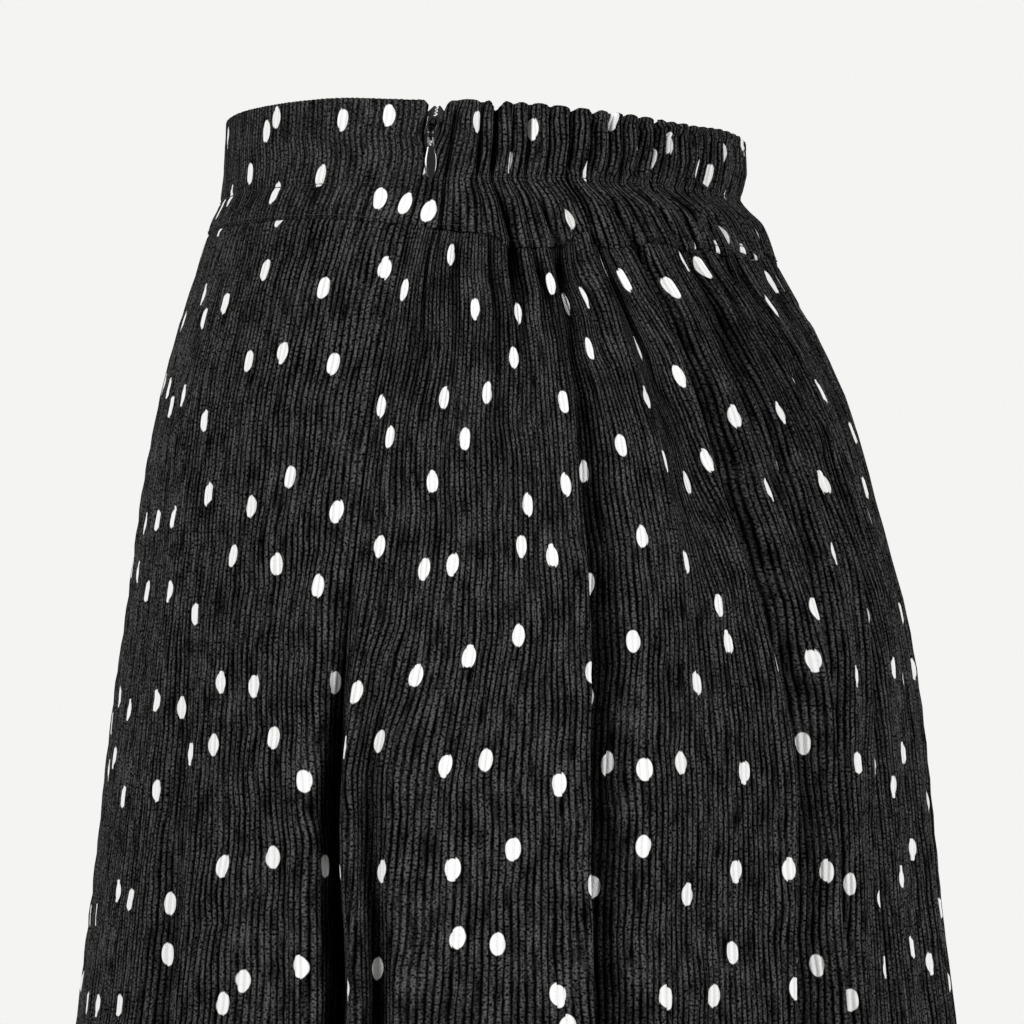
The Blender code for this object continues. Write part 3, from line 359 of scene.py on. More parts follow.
DENT_HEIGHTS = (YOKE_SEAM - 0.003, -0.026, CASING_FOOT, -0.009, 0.007, CASING_TOP)
FULL_HOLLOW = 0.0042           # a dent this deep gets the full painted shade


def fold_angle(fold, z):
    """Where a fold's bottom lies at a height, in radians."""
    ways = (fold.at_hem, fold.at_low, fold.at_thigh, fold.at_hip, fold.at_seam)
    return np.radians(smooth(z, FOLD_HEIGHTS, ways))


def fold_depth(fold, z):
    """How deep a fold is at a height, in metres."""
    depths = (fold.deep_hem, fold.deep_low, fold.deep_thigh, fold.deep_hip, fold.deep_seam)
    return 0.001 * smooth(z, FOLD_HEIGHTS, depths)


def mirrored(dent):
    """The same dent on the far side."""
    return dent._replace(angle=MIRROR - dent.angle, at_seam=MIRROR_AT_SEAM - dent.at_seam)


DENTS = LEFT_DENTS + MIDDLE_DENTS + tuple(mirrored(dent) for dent in LEFT_DENTS[::-1])


def dent_angle(dent, z):
    """Where a dent's bottom lies in the yoke at a height, in radians."""
    lower = np.clip((CASING_FOOT - z) / (CASING_FOOT - YOKE_SEAM), 0, 1)
    near = np.exp(-(dent.angle - FIRST_DENT) / SEAM_LEAN_REACH)
    lean = (left_seam(z) - left_seam(0.0)) * near * (1 - lower)
    return np.radians(dent.angle + (dent.at_seam - dent.angle) * lower) + lean


def gather_depth(angle, z):
    """How deep the gathered cloth of the yoke lies under its ridges, in metres."""
    speed = pace(angle, z)
    deepest = np.zeros_like(angle)
    nearest = np.full_like(angle, 1.0)
    narrow = smooth(z, DENT_HEIGHTS, (1.0, 1.0, PINCH_NARROW, 1.0, 1.0, 0.9))
    for dent in DENTS:
        middle = DENT_MIDDLE * (dent.deep_seam + dent.deep) / 2
        deeps = (dent.deep_seam, middle, DENT_PINCH * dent.deep, dent.deep, dent.deep,
                 dent.top * dent.deep)
        deep = 0.001 * smooth(z, DENT_HEIGHTS, deeps)
        aside = np.abs(angle - dent_angle(dent, z)) * speed
        across = np.clip(aside / (0.001 * dent.wide * narrow), 0, 1)
        deepest = np.maximum(deepest, deep * (1 - across) ** DENT_SHARP)
        nearest = np.minimum(nearest, aside)
    round_out = RIDGE_ROUND * narrow * np.sin(pi / 2 * np.clip(nearest / RIDGE_REACH, 0, 1))
    between = (angle > dent_angle(DENTS[0], z)) & (angle < dent_angle(DENTS[-1], z))
    return deepest - np.where(between, round_out, 0.0)


def face(angle, z, folds, relief, gathered=False):
    """A point of the cloth's face, as x and y, and how far down in a fold or dent it lies.

    relief is how far the cloth stands out of its ring; gathered tells that this is the elastic.
    """
    side = read(SECTIONS, "side", "z", z)
    depth = half_depth(angle, z)
    x = side * np.cos(angle)
    y = depth * np.sin(angle)
    speed = np.hypot(side * np.sin(angle), depth * np.cos(angle))
    along_x = -side * np.sin(angle) / speed
    along_y = depth * np.cos(angle) / speed
    width = smooth(z, (HEM, HIP, YOKE_SEAM), (1.0, 1.0, FOLD_WIDTH_AT_SEAM))
    inward = np.zeros_like(x) - relief
    sideways = np.zeros_like(x)
    bottom = np.zeros_like(x)
    for fold in folds:
        turn = np.mod(angle - fold_angle(fold, z) + pi, 2 * pi) - pi
        reach = 0.001 * np.where(turn < 0, fold.near, fold.far) * width
        across = turn * speed / reach
        deep = fold_depth(fold, z)
        trough = np.where(np.abs(across) < 1, np.cos(across * pi / 2) ** 2, 0.0)
        lip = LIP * np.exp(-((np.abs(across) - LIP_PLACE) / LIP_WIDTH) ** 2)
        inward += deep * (trough * cos(radians(fold.tuck)) - lip)
        sideways -= deep * trough * sin(radians(fold.tuck))
        # bottom also sets how much shade the material paints here
        bottom = np.maximum(bottom, trough * np.clip(deep / FULL_FOLD, 0, 1))
    if gathered:
        deep = gather_depth(angle, z)
        inward += deep
        bottom = np.clip(deep / FULL_HOLLOW, 0, 1)
    x = x + sideways * along_x - inward * along_y
    y = y + sideways * along_y + inward * along_x
    return np.stack([x, y], axis=-1), bottom


print(len(FOLDS), "long folds and", len(DENTS), "dents between the gathers")

# %% [markdown]
# ## Crinkled ribs
#
# The ribs of crinkled cloth are never quite straight: they wander, swell, run together, and kink
# sideways where the cloth was creased across, about every fourteen millimetres. Four points
# across each rib, in its valley, on its ridge and halfway up each side, are enough for a rounded
# look, because smooth shading does the rest. The unevenness comes from one seeded function that
# reads smooth waves out of a table of chance numbers.

# %% Uneven ribs
RIB_POINTS = 4
RIB_SIDE = 0.62                # height of a rib's sides over its ridge
RIB_FLAT = 0.0025              # a rib's share of the flat cloth, which the print is measured on
CREASE_STEP = 0.014            # between the creases across the cloth
KINK = 0.00110                 # how far the ribs step sideways at a crease
KINK_RUN = 0.017               # ribs this far apart step on their own
RIB_UNEVEN = 0.11
RIDGE_MEAN = 0.74              # a ridge's usual height over the rise
RIDGE_SWELL = 0.30             # and how much it varies
RIDGE_TILT = 0.20              # one side of a rib may be this much higher than the other
VALLEY_RISE = 0.45             # some valleys are this shallow
CREASE_PINCH = 0.35            # a crease flattens the ribs by this share
CREASE_NARROW = 4              # over this part of the step between creases on each side of it
GUIDE_MARGIN = 0.100           # radians from a side seam within which no fold guides the ribs
LEAST_PITCH = 0.00175          # ribs don't crowd closer than this outside a fold's flank
FULL_PITCH = 0.0015            # closer than this they flatten
APART = 0.000002               # keeps two rib points from falling together
EDGE_CALM = 0.010              # the ribs wander less within this distance of a side seam
HALFWAY_ROUND = 1.62           # radians; guides beyond it tuck their ribs to the other side
WANDER_SIZE = 512
FINE = 2600                    # samples along a row, to measure its true run


def wander(across, down, seed):
    """Chance waves between -1 and 1: smooth across, and with a kink at each whole step down."""
    knots = np.random.default_rng(seed).uniform(-1, 1, (WANDER_SIZE, WANDER_SIZE))
    across, down = np.broadcast_arrays(np.asarray(across, float), np.asarray(down, float))
    column = np.floor(across).astype(int)
    row = np.floor(down).astype(int)
    x = across - column
    y = down - row
    x = x * x * (3 - 2 * x)
    column, beside = column % WANDER_SIZE, (column + 1) % WANDER_SIZE
    row, below = row % WANDER_SIZE, (row + 1) % WANDER_SIZE
    upper = knots[row, column] * (1 - x) + knots[row, beside] * x
    lower = knots[below, column] * (1 - x) + knots[below, beside] * x
    return upper * (1 - y) + lower * y


def true_run(line):
    """How far each point of a line lies from its start, along it."""
    return np.concatenate([[0.0], np.cumsum(np.linalg.norm(np.diff(line, axis=0), axis=1))])


def rib_knots(guides, counts, ribs, level, turn, run):
    """Rib numbers and the runs where they lie at a level.

    Each guide keeps its own rib. Where the cloth between two guides is drawn in so far that its
    ribs would crowd, the surplus hides in the far flank of the guide on the side's own half.
    """
    bottoms = [0.0] + [float(np.interp(guide(level)[1], turn, run)) for guide in guides]
    bottoms.append(run[-1])
    numbers = [0.0] + list(counts) + [float(ribs)]
    knots = [(0.0, 0.0)]
    for place in range(len(guides) + 1):
        start, end = bottoms[place], bottoms[place + 1]
        many = numbers[place + 1] - numbers[place]
        pitch = max((end - start) / many, LEAST_PITCH)
        before = guides[place - 1](level) if place > 0 else None
        after = guides[place](level) if place < len(guides) else None
        if before is not None and before[2] is not None and before[1] < HALFWAY_ROUND:
            edge = float(np.interp(before[2], turn, run))
            if start < edge < end and (end - edge) / pitch < many:
                knots.append((numbers[place + 1] - (end - edge) / pitch, edge))
        elif after is not None and after[0] is not None and after[1] > HALFWAY_ROUND:
            edge = float(np.interp(after[0], turn, run))
            if start < edge < end and (edge - start) / pitch < many:
                knots.append((numbers[place] + (edge - start) / pitch, edge))
        knots.append((numbers[place + 1], end))
    return zip(*knots)


def lay_ribs(levels, creases, spread, folds, gathered, guides, guide_level, ribs, seed, lean=None):
    """Angles of the rib points in each row, how crowded each rib is, and each row's true run.

    guides are functions that give, for a height, the angles of a fold's near edge, its bottom
    and its far edge; guide_level is where the ribs between them are counted.
    """
    number = np.arange(RIB_POINTS * ribs + 1) / RIB_POINTS

    def measured(level):
        turn = spread(level)
        return turn, true_run(face(turn, np.full(turn.shape, level), folds, 0.0, gathered)[0])

    turn, run = measured(guide_level)
    guides = [guide for guide in guides
              if GUIDE_MARGIN < guide(guide_level)[1] - turn[0] < turn[-1] - turn[0] - GUIDE_MARGIN]
    counts = [float(np.interp(guide(guide_level)[1], turn, run)) / run[-1] * ribs
              for guide in guides]
    angles = np.empty((len(levels), len(number)))
    crowded = np.empty_like(angles)
    runs = np.empty(len(levels))
    for row, (level, crease) in enumerate(zip(levels, creases)):
        turn, run = measured(level)
        runs[row] = run[-1]
        knot_numbers, knot_runs = rib_knots(guides, counts, ribs, level, turn, run)
        along = np.interp(number, knot_numbers, knot_runs)
        pitch = np.gradient(along, number)
        crowded[row] = np.clip(pitch / FULL_PITCH, 0, 1) ** 2
        shift = KINK * wander(along / KINK_RUN, crease, seed)
        shift += RIB_UNEVEN * pitch * wander(np.floor(number), crease / 4, seed + 1)
        if lean is not None:
            shift += lean(number / ribs, level)
        loose = np.clip(np.minimum(along, run[-1] - along) / EDGE_CALM, 0, 1)
        wanted = np.maximum.accumulate(along + loose * shift) + APART * number
        wanted *= run[-1] / (run[-1] + APART * ribs)
        angles[row] = np.interp(wanted, run, turn)
    return angles, crowded, runs


def rib_relief(creases, ribs, rise, seed):
    """How far each rib point stands out of the cloth."""
    count = np.arange(RIB_POINTS * ribs + 1)
    number = count // RIB_POINTS
    crease = np.asarray(creases)[:, None]
    strong = RIDGE_MEAN + RIDGE_SWELL * wander(number, crease * 0.8, seed)
    tilt = RIDGE_TILT * wander(number, crease * 0.5, seed + 1)
    valley = VALLEY_RISE * np.clip(wander(number, crease * 0.4, seed + 2), 0, 1)
    part = count % RIB_POINTS
    side = RIB_SIDE * strong * (1 + np.where(part == 1, tilt, -tilt))
    nearest = np.abs(crease - np.round(crease))
    pinch = 1 - CREASE_PINCH * np.clip(1 - CREASE_NARROW * nearest, 0, 1)
    return rise * pinch * np.where(part == 0, valley, np.where(part == 2, strong, side))


print("a rib takes", RIB_FLAT * 1000, "mm of flat cloth")

# %% [markdown]
# ## A shell of cloth
#
# Each sewn piece is a closed thin shell. Its outside is a fine grid with a column for each rib
# point, and its inside a grid of every fourth column and every second row, because nobody sees
# ribs there. A strip joins them at the edges. A UV map holds each point's place on the flat cloth
# in metres, so that the print follows the ribs.

# %% Shell builder
Grid = namedtuple("Grid", "piece outer")
MITRE_LIMIT = 0.35             # keeps sharp corners of an offset line from running far out
FOLD_CALM = 0.75               # the ribs flatten by this share at the bottom of a fold
FOLD_THICK = 0.0008            # the wall grows by this much there


def offset_line(line, distance):
    """A line of points moved to its left-hand side by a distance, with mitred corners."""
    step = np.diff(line, axis=0)
    step /= np.linalg.norm(step, axis=1)[:, None]
    before = np.vstack([step[:1], step])
    after = np.vstack([step, step[-1:]])
    normal_before = np.stack([-before[:, 1], before[:, 0]], axis=-1)
    normal_after = np.stack([-after[:, 1], after[:, 0]], axis=-1)
    opening = 1 + np.sum(normal_before * normal_after, axis=1)
    mitre = (normal_before + normal_after) / np.maximum(opening, MITRE_LIMIT)[:, None]
    return line + mitre * distance


def grid_faces(numbers, outside):
    """Corner numbers of a grid's squares; rows go down and columns go round."""
    corners = [numbers[1:, :-1], numbers[1:, 1:], numbers[:-1, 1:], numbers[:-1, :-1]]
    if not outside:
        corners = corners[::-1]
    return np.stack(corners, axis=-1).reshape(-1, 4).tolist()


def edge_strip(fine, coarse, turned):
    """Faces between an edge with many points and one with few."""
    step = (len(fine) - 1) // (len(coarse) - 1)
    faces = []
    for number in range(len(coarse) - 1):
        part = fine[number * step:(number + 1) * step + 1]
        half = (step + 1) // 2
        first = part[:half + 1] + [coarse[number]]
        rest = part[half:] + [coarse[number + 1], coarse[number]]
        for corners in (first, rest):
            faces.append(corners if turned else corners[::-1])
    return faces


def shell_faces(outside, inside):
    """Faces of a closed shell: two grids of point numbers, and the strips round them."""
    faces = grid_faces(outside, True) + grid_faces(inside, False)
    faces += edge_strip(outside[0].tolist(), inside[0].tolist(), True)
    faces += edge_strip(outside[-1].tolist(), inside[-1].tolist(), False)
    faces += edge_strip(outside[:, 0].tolist(), inside[:, 0].tolist(), False)
    faces += edge_strip(outside[:, -1].tolist(), inside[:, -1].tolist(), True)
    return faces


def add_piece(name, points, faces):
    """An object of points and faces, smooth."""
    mesh = bpy.data.meshes.new(name)
    mesh.from_pydata(np.asarray(points).tolist(), [], faces)
    mesh.shade_smooth()
    piece = bpy.data.objects.new(name, mesh)
    bpy.context.scene.collection.objects.link(piece)
    return piece


def make_shell(name, angles, heights, body, folds, gathered, relief, ribs_out, tuck, wall,
               hollow_shade, print_shift):
    """A closed shell of ribbed cloth, with its print map and its outer grid of points.

    heights are where the points lie and body is the height at which the rings are read; the
    hollow shade is how far down each point lies in dents that the relief makes, and with the
    bottoms of the folds it sets the shade that the material paints.
    """
    rows, columns = angles.shape
    outer = np.empty((rows, columns, 3))
    inner = np.empty_like(outer)
    shade = np.empty((rows, columns))
    for row in range(rows):
        line, bottom = face(angles[row], body[row], folds, relief[row], gathered)
        shade[row] = np.maximum(bottom, hollow_shade[row])
        inward = offset_line(line, 1.0) - line
        out = ribs_out[row] * (1 - FOLD_CALM * bottom) - tuck[row]
        outer[row, :, :2] = line - inward * out[:, None]
        inner[row, :, :2] = line + inward * (tuck[row] + wall + FOLD_THICK * bottom)[:, None]
        outer[row, :, 2] = heights[row]
        inner[row, :, 2] = heights[row]
    flat = np.empty((rows, columns, 2))
    flat[:, :, 0] = np.arange(columns) / RIB_POINTS * RIB_FLAT + print_shift[0]
    flat[:, :, 1] = print_shift[1] - heights
    few = (slice(None, None, 2), slice(None, None, RIB_POINTS))
    inner = inner[few]
    points = np.concatenate([outer.reshape(-1, 3), inner.reshape(-1, 3)])
    flats = np.concatenate([flat.reshape(-1, 2), flat[few].reshape(-1, 2)])
    shades = np.concatenate([shade.ravel(), shade[few].ravel()])
    start = rows * columns
    numbers = np.arange(len(points))
    faces = shell_faces(numbers[:start].reshape(rows, columns),
                        numbers[start:].reshape(inner.shape[:2]))
    piece = add_piece(name, points, faces)
    mesh = piece.data
    corner = np.empty(len(mesh.loops), dtype=np.int32)
    mesh.loops.foreach_get("vertex_index", corner)
    mesh.uv_layers.new(name="flat_cloth").data.foreach_set("uv", flats[corner].ravel())
    inside_mark = mesh.attributes.new("inside", "FLOAT", "POINT")
    inside_mark.data.foreach_set("value", (numbers >= start).astype(float))
    # how far down in a fold or dent each point lies, by which the material paints shade
    mesh.attributes.new("hollow_shade", "FLOAT", "POINT").data.foreach_set("value", shades)
    print(name, rows, "x", columns, "points,", sum(len(f) - 2 for f in faces), "triangles")
    return Grid(piece, outer)


# %% [markdown]
# ## The front yoke
#
# The front of the waistband lies flat: two layers of cloth, folded over at the top and stitched
# through thirty millimetres below it. Under the stitch line the same strip goes on as far as the
# yoke seam, slightly puffed. Its ribs are upright and lean only beside the zip. At the zip the edge
# turns in, and near the top the two edges part round the slider. The pressed cloth has calmer ribs,
# and an attribute tells the material to paint less shade in their valleys.

# %% Yoke sizes and the front yoke
YOKE_WALL = 0.0018
EDGE_ROUND = 0.0009            # radius of the folded top edge
ROLL = 0.0006                  # how far an edge turns in at a seam
ROLL_REACH = 0.0017
SEAM_HALF_GAP = 0.00002
FRONT_YOKE_RIBS = 164
FRONT_YOKE_RISE = 0.00055
YOKE_MIDDLE_ROWS = 53
STITCH_PINCH = 0.0005
STITCH_WIDTH = 0.0013
STRIP_PUFF = 0.0004
CORNER_ROUND = 0.0030          # the yoke's corners at the zip are rounded over this width
CORNER_DROP = 0.0018           # and by this much
TOP_SHARP = 6                  # how near the top edge the corners and dips stay
RIB_TOP_SHARP = 12             # and the ends of the ribs
CASING_HALF_WIDE = 0.125       # radius by which angles beside the zip are measured
FRONT_TOP_CALM = 0.40          # the front's ribs are this much flatter in the pressed casing

ZipEdge = namedtuple("ZipEdge", "z cloth")
ZIP_NOTCH = (
    ZipEdge(-0.0080, 0.00010),
    ZipEdge(-0.0040, 0.0008),
    ZipEdge(0.0000, 0.0022),
    ZipEdge(0.0025, 0.0029),
    ZipEdge(0.0100, 0.0030),
    ZipEdge(CASING_TOP, 0.0034),
)


def zip_gap(z):
    """How far the cloth's edge lies from the middle of the left side seam."""
    return np.maximum(read(ZIP_NOTCH, "cloth", "z", z), SEAM_HALF_GAP)


def yoke_rows(top, foot, middle_rows):
    """Heights of a yoke's rows, and how far each turns in: a round top edge and a rolled foot."""
    turns = np.radians([90.0, 50.0, 22.0, 0.0])
    top_down = EDGE_ROUND * (1 - np.sin(turns))
    top_tuck = EDGE_ROUND * (1 - np.cos(turns))
    foot_up = ROLL_REACH * np.array([1.0, 0.55, 0.2, 0.0])
    foot_tuck = ROLL * (1 - foot_up / ROLL_REACH) ** 2
    shares = np.linspace(0, 1, middle_rows + 2)[1:-1]
    high = top - top_down[-1]
    low = foot + foot_up[0]
    rows = [top - down for down in top_down]
    rows += [high + share * (low - high) for share in shares]
    rows += [foot + up for up in foot_up]
    tuck = np.concatenate([top_tuck, np.zeros(middle_rows), foot_tuck])
    return np.array(rows), tuck


def side_roll(angles, heights, first, last):
    """How far the cloth turns in beside its two side edges."""
    near = np.minimum(angles - first, last - angles) * pace(angles, heights)
    return ROLL * np.clip(1 - near / ROLL_REACH, 0, 1) ** 2


def yoke_heights(angles, levels, lines):
    """Real heights of a yoke's rows, whose top, stitch line and foot all rise and fall.

    The levels are those of an even yoke. Also given are the heights at which the body is read.
    """
    turn = np.degrees(angles)
    top = read(lines, "top", "angle", turn)
    stitch = read(lines, "stitch", "angle", turn)
    foot = read(lines, "seam", "angle", turn) + SEAM_HALF_GAP
    level = levels[:, None]
    upper = np.clip((level - CASING_FOOT) / (CASING_TOP - CASING_FOOT), 0, None)
    lower = np.clip((CASING_FOOT - level) / (CASING_FOOT - YOKE_SEAM_SIDE), 0, 1)
    heights = stitch + upper * (top - stitch) + lower * (foot - stitch)
    body = CASING_FOOT + upper * (CASING_TOP - CASING_FOOT) + lower * (foot - CASING_FOOT)
    return heights, body, upper, lower


def yoke_shape(upper, lower):
    """The pinch of the casing's stitch line and the puff of the strip under it."""
    away = upper * (CASING_TOP - CASING_FOOT) + lower * (CASING_FOOT - YOKE_SEAM_SIDE)
    pinch = np.exp(-(away / STITCH_WIDTH) ** 2)
    return STRIP_PUFF * np.sin(pi * lower) ** 0.8 - STITCH_PINCH * pinch


def corner_drop(beside_zip, upper):
    """How far a yoke's top corner drops at a distance from its edge at the zip."""
    near = np.clip(1 - beside_zip / CORNER_ROUND, 0, 1)
    return CORNER_DROP * near ** 2 * np.clip(upper, 0, 1) ** TOP_SHARP


def front_yoke_spread(level):
    """Angles across the front yoke at a height."""
    first = float(right_seam(level)) - 2 * pi + SEAM_HALF_GAP / float(pace(pi, level))
    last = float(left_seam(level) - zip_gap(level) / pace(0.0, level))
    return np.linspace(first, last, FINE)


def upright_away_from_zip(share, level):
    """Shift that keeps the ribs upright in front and leaves them leaning only beside the zip."""
    lean = float((left_seam(CASING_TOP) - left_seam(level)) * pace(0.0, level))
    return lean * (share - share ** 4)


def make_front_yoke():
    """The front yoke, whose ribs lean only beside the zip."""
    levels, tuck = yoke_rows(CASING_TOP, YOKE_SEAM_SIDE, YOKE_MIDDLE_ROWS)
    creases = (CASING_TOP - levels) / CREASE_STEP + 0.6
    angles, _, _ = lay_ribs(levels, creases, front_yoke_spread, (), False, (), CASING_FOOT,
                            FRONT_YOKE_RIBS, 11, upright_away_from_zip)
    ribs_out = rib_relief(creases, FRONT_YOKE_RIBS, FRONT_YOKE_RISE, 14)
    heights, body, upper, lower = yoke_heights(angles, levels, YOKE_FRONT_LINES)
    beside_zip = (angles[:, -1:] - angles) * CASING_HALF_WIDE
    heights -= corner_drop(beside_zip, upper)
    heights += 0.5 * (ribs_out - FRONT_YOKE_RISE / 2) * np.clip(upper, 0, 1) ** RIB_TOP_SHARP
    roll = side_roll(angles, body, angles[:, :1], angles[:, -1:])
    edges = np.maximum(tuck[:, None], roll)
    softer = 1 - FRONT_TOP_CALM * np.clip(upper, 0, 1) ** 0.5
    relief = yoke_shape(upper, lower)
    return make_shell("yoke_front_cloth", angles, heights, body, (), False, relief,
                      ribs_out * softer, edges, YOKE_WALL, np.zeros_like(angles), (0.20, 0.35))


front_yoke = make_front_yoke()
# The front yoke gets less painted shade in its rib valleys.
pressed_less_shade = front_yoke.piece.data.attributes.new("pressed_less_shade", "FLOAT", "POINT")
pressed_less_shade.data.foreach_set("value", np.ones(len(front_yoke.piece.data.vertices)))

# %% [markdown]
# ## The back yoke
#
# Behind the zip the casing holds a stretched elastic band, which draws the cloth into upright
# gathers. They are pinched at the stitch line and lean away from the zip in the strip below it,
# where pairs of them run together. The ribs follow the cloth over the gathers, so they are laid
# out along its true run.

# %% Back yoke
BACK_YOKE_RIBS = 228
BACK_YOKE_RISE = 0.00055
GUIDE_LEVEL = -0.004           # height at which the ribs between two dents are counted
PUFF_WAVE = 0.0009             # unevenness of the puffed strip under the casing
PUFFS = 16                     # waves of it to a radian
TOP_DIP = 0.70                 # the top edge dips by this share of a dent's depth


def back_yoke_spread(level):
    """Angles across the back yoke at a height."""
    first = float(left_seam(level) + zip_gap(level) / pace(0.0, level))
    last = float(right_seam(level) - SEAM_HALF_GAP / pace(pi, level))
    return np.linspace(first, last, FINE)


def dent_guide(dent):
    """A guide for the ribs along a dent of the elastic."""
    return lambda z: (None, float(dent_angle(dent, z)), None)


def make_back_yoke():
    """The back yoke, whose ribs follow the dents of the elastic."""
    levels, tuck = yoke_rows(CASING_TOP, YOKE_SEAM_SIDE, YOKE_MIDDLE_ROWS)
    creases = (CASING_TOP - levels) / CREASE_STEP + 0.6
    guides = [dent_guide(dent) for dent in DENTS]
    angles, crowded, runs = lay_ribs(levels, creases, back_yoke_spread, (), True, guides,
                                     GUIDE_LEVEL, BACK_YOKE_RIBS, 21)
    print("back yoke's cloth runs", round(float(runs.max()), 3), "m")
    ribs_out = rib_relief(creases, BACK_YOKE_RIBS, BACK_YOKE_RISE, 24)
    heights, body, upper, lower = yoke_heights(angles, levels, YOKE_BACK_LINES)
    beside_zip = (angles - angles[:, :1]) * CASING_HALF_WIDE
    heights -= corner_drop(beside_zip, upper)
    deep = gather_depth(angles, body + np.zeros_like(angles))
    heights -= TOP_DIP * deep * np.clip(upper, 0, 1) ** TOP_SHARP
    roll = side_roll(angles, body, angles[:, :1], angles[:, -1:])
    edges = np.maximum(tuck[:, None], roll)
    puffs = PUFF_WAVE * np.sin(pi * lower) * wander(angles * PUFFS, 0.3, 27)
    relief = yoke_shape(upper, lower) + puffs
    return make_shell("yoke_back_cloth", angles, heights, body, (), True, relief,
                      ribs_out * crowded, edges, YOKE_WALL, np.zeros_like(angles), (0.70, 0.90))


back_yoke = make_back_yoke()

# %% [markdown]
# ## The skirt's panels
#
# Both panels hang from the yoke seam to the hem. Their rows follow the creases across the cloth,
# closer together at the top, where the pleats are looked at from near by. Beside the seams the
# cloth rolls in. Under the gathered seam the back panel has short folds of its own, which run out
# further down, and the whole cloth has soft waves.

# %% Panel sizes
SKIRT_WALL = 0.0009
FRONT_RIBS = 212
BACK_RIBS = 300
PANEL_RISE = 0.00090
FRONT_ROWS_NEAR = 3            # rows for each crease, in the near part and below it
BACK_ROWS_NEAR = 2
ROWS_FAR = 1
NEAR_ROWS_FOOT = -0.335        # above this the rows are closer together
FAR_CREASE_STEP = 0.0179
CREASE_WAVE = 0.0022           # how far a crease wanders up and down
CREASE_DENT = 0.00016
CREASE_WAVE_WIDE = 0.030
SOFT_WAVE = 0.0007
SOFT_WAVE_WIDE = 0.024
WAVES_DOWN = 9                 # waves from the yoke seam to the hem
SHORT_FOLD = 0.0042            # depth of the short folds under the gathered seam
SHORT_FOLD_RUN = 0.0085
SHORT_FOLD_REACH = 0.055
RUN_ON_END = 0.09              # below this far down, no dent of the elastic runs on
HIP_RADIUS = 0.14              # by which angles from a panel's edge are measured
FLAT_BESIDE_SEAM = 0.012       # the cloth lies flatter within this distance of a side seam
FULL_STREAK = 0.0030           # a short fold this deep gets the full painted shade


def panel_rows(near_rows, far_rows):
    """Levels of a panel's rows from the yoke seam to the hem, their creases and their roll."""
    roll_down = ROLL_REACH * np.array([0.0, 0.2, 0.55])
    roll = ROLL * (1 - roll_down / ROLL_REACH) ** 2
    near_count = int(round((YOKE_SEAM_SIDE - NEAR_ROWS_FOOT) / CREASE_STEP))
    far_count = int(round((NEAR_ROWS_FOOT - HEM) / FAR_CREASE_STEP))
    near = np.linspace(ROLL_REACH, YOKE_SEAM_SIDE - NEAR_ROWS_FOOT, near_count * near_rows + 1)
    far = np.linspace(YOKE_SEAM_SIDE - NEAR_ROWS_FOOT, YOKE_SEAM_SIDE - HEM,
                      far_count * far_rows + 1)[1:]
    down = np.concatenate([roll_down, near, far])
    if len(down) % 2 == 0:
        down = np.insert(down, -1, (down[-1] + down[-2]) / 2)
    creases = smooth(down, (0, near[-1], far[-1]),
                     (0, near_count, near_count + far_count))
    tuck = np.concatenate([roll, np.zeros(len(down) - len(roll))])
    return YOKE_SEAM_SIDE - down, creases, tuck


def fold_guide(fold, spread):
    """A guide for the ribs along a long fold: its near edge, its bottom and its far edge."""
    def places(z):
        turn = spread(z)
        middle = float(fold_angle(fold, z))
        middle = (middle - turn[0] + 1.0) % (2 * pi) + turn[0] - 1.0
        speed = float(pace(middle, z))
        width = 0.001 * float(smooth(z, (HEM, HIP, YOKE_SEAM), (1.0, 1.0, FOLD_WIDTH_AT_SEAM)))
        return (middle - fold.near * width / speed, middle, middle + fold.far * width / speed)
    return places


def run_on(angles, heights, down):
    """How deep the dents of the elastic run on below the yoke seam."""
    seams = [fold.at_seam for fold in GATHERED_FOLDS]
    deep = np.zeros_like(angles)
    for row in range(len(angles)):
        if float(down[row, 0]) > RUN_ON_END:
            break
        level = float(np.mean(heights[row]))
        moved = [float(np.degrees(fold_angle(fold, level))) - fold.at_seam
                 for fold in GATHERED_FOLDS]
        for dent in DENTS:
            middle = radians(dent.at_seam + float(np.interp(dent.at_seam, seams, moved)))
            across = np.abs(angles[row] - middle) * pace(angles[row], level)
            left = 0.001 * dent.deep_seam * np.exp(-float(down[row, 0]) / (0.001 * dent.run_on))
            across = np.clip(across / (0.001 * dent.wide), 0, 1)
            deep[row] = np.maximum(deep[row], left * (1 - across) ** DENT_SHARP)
    return deep


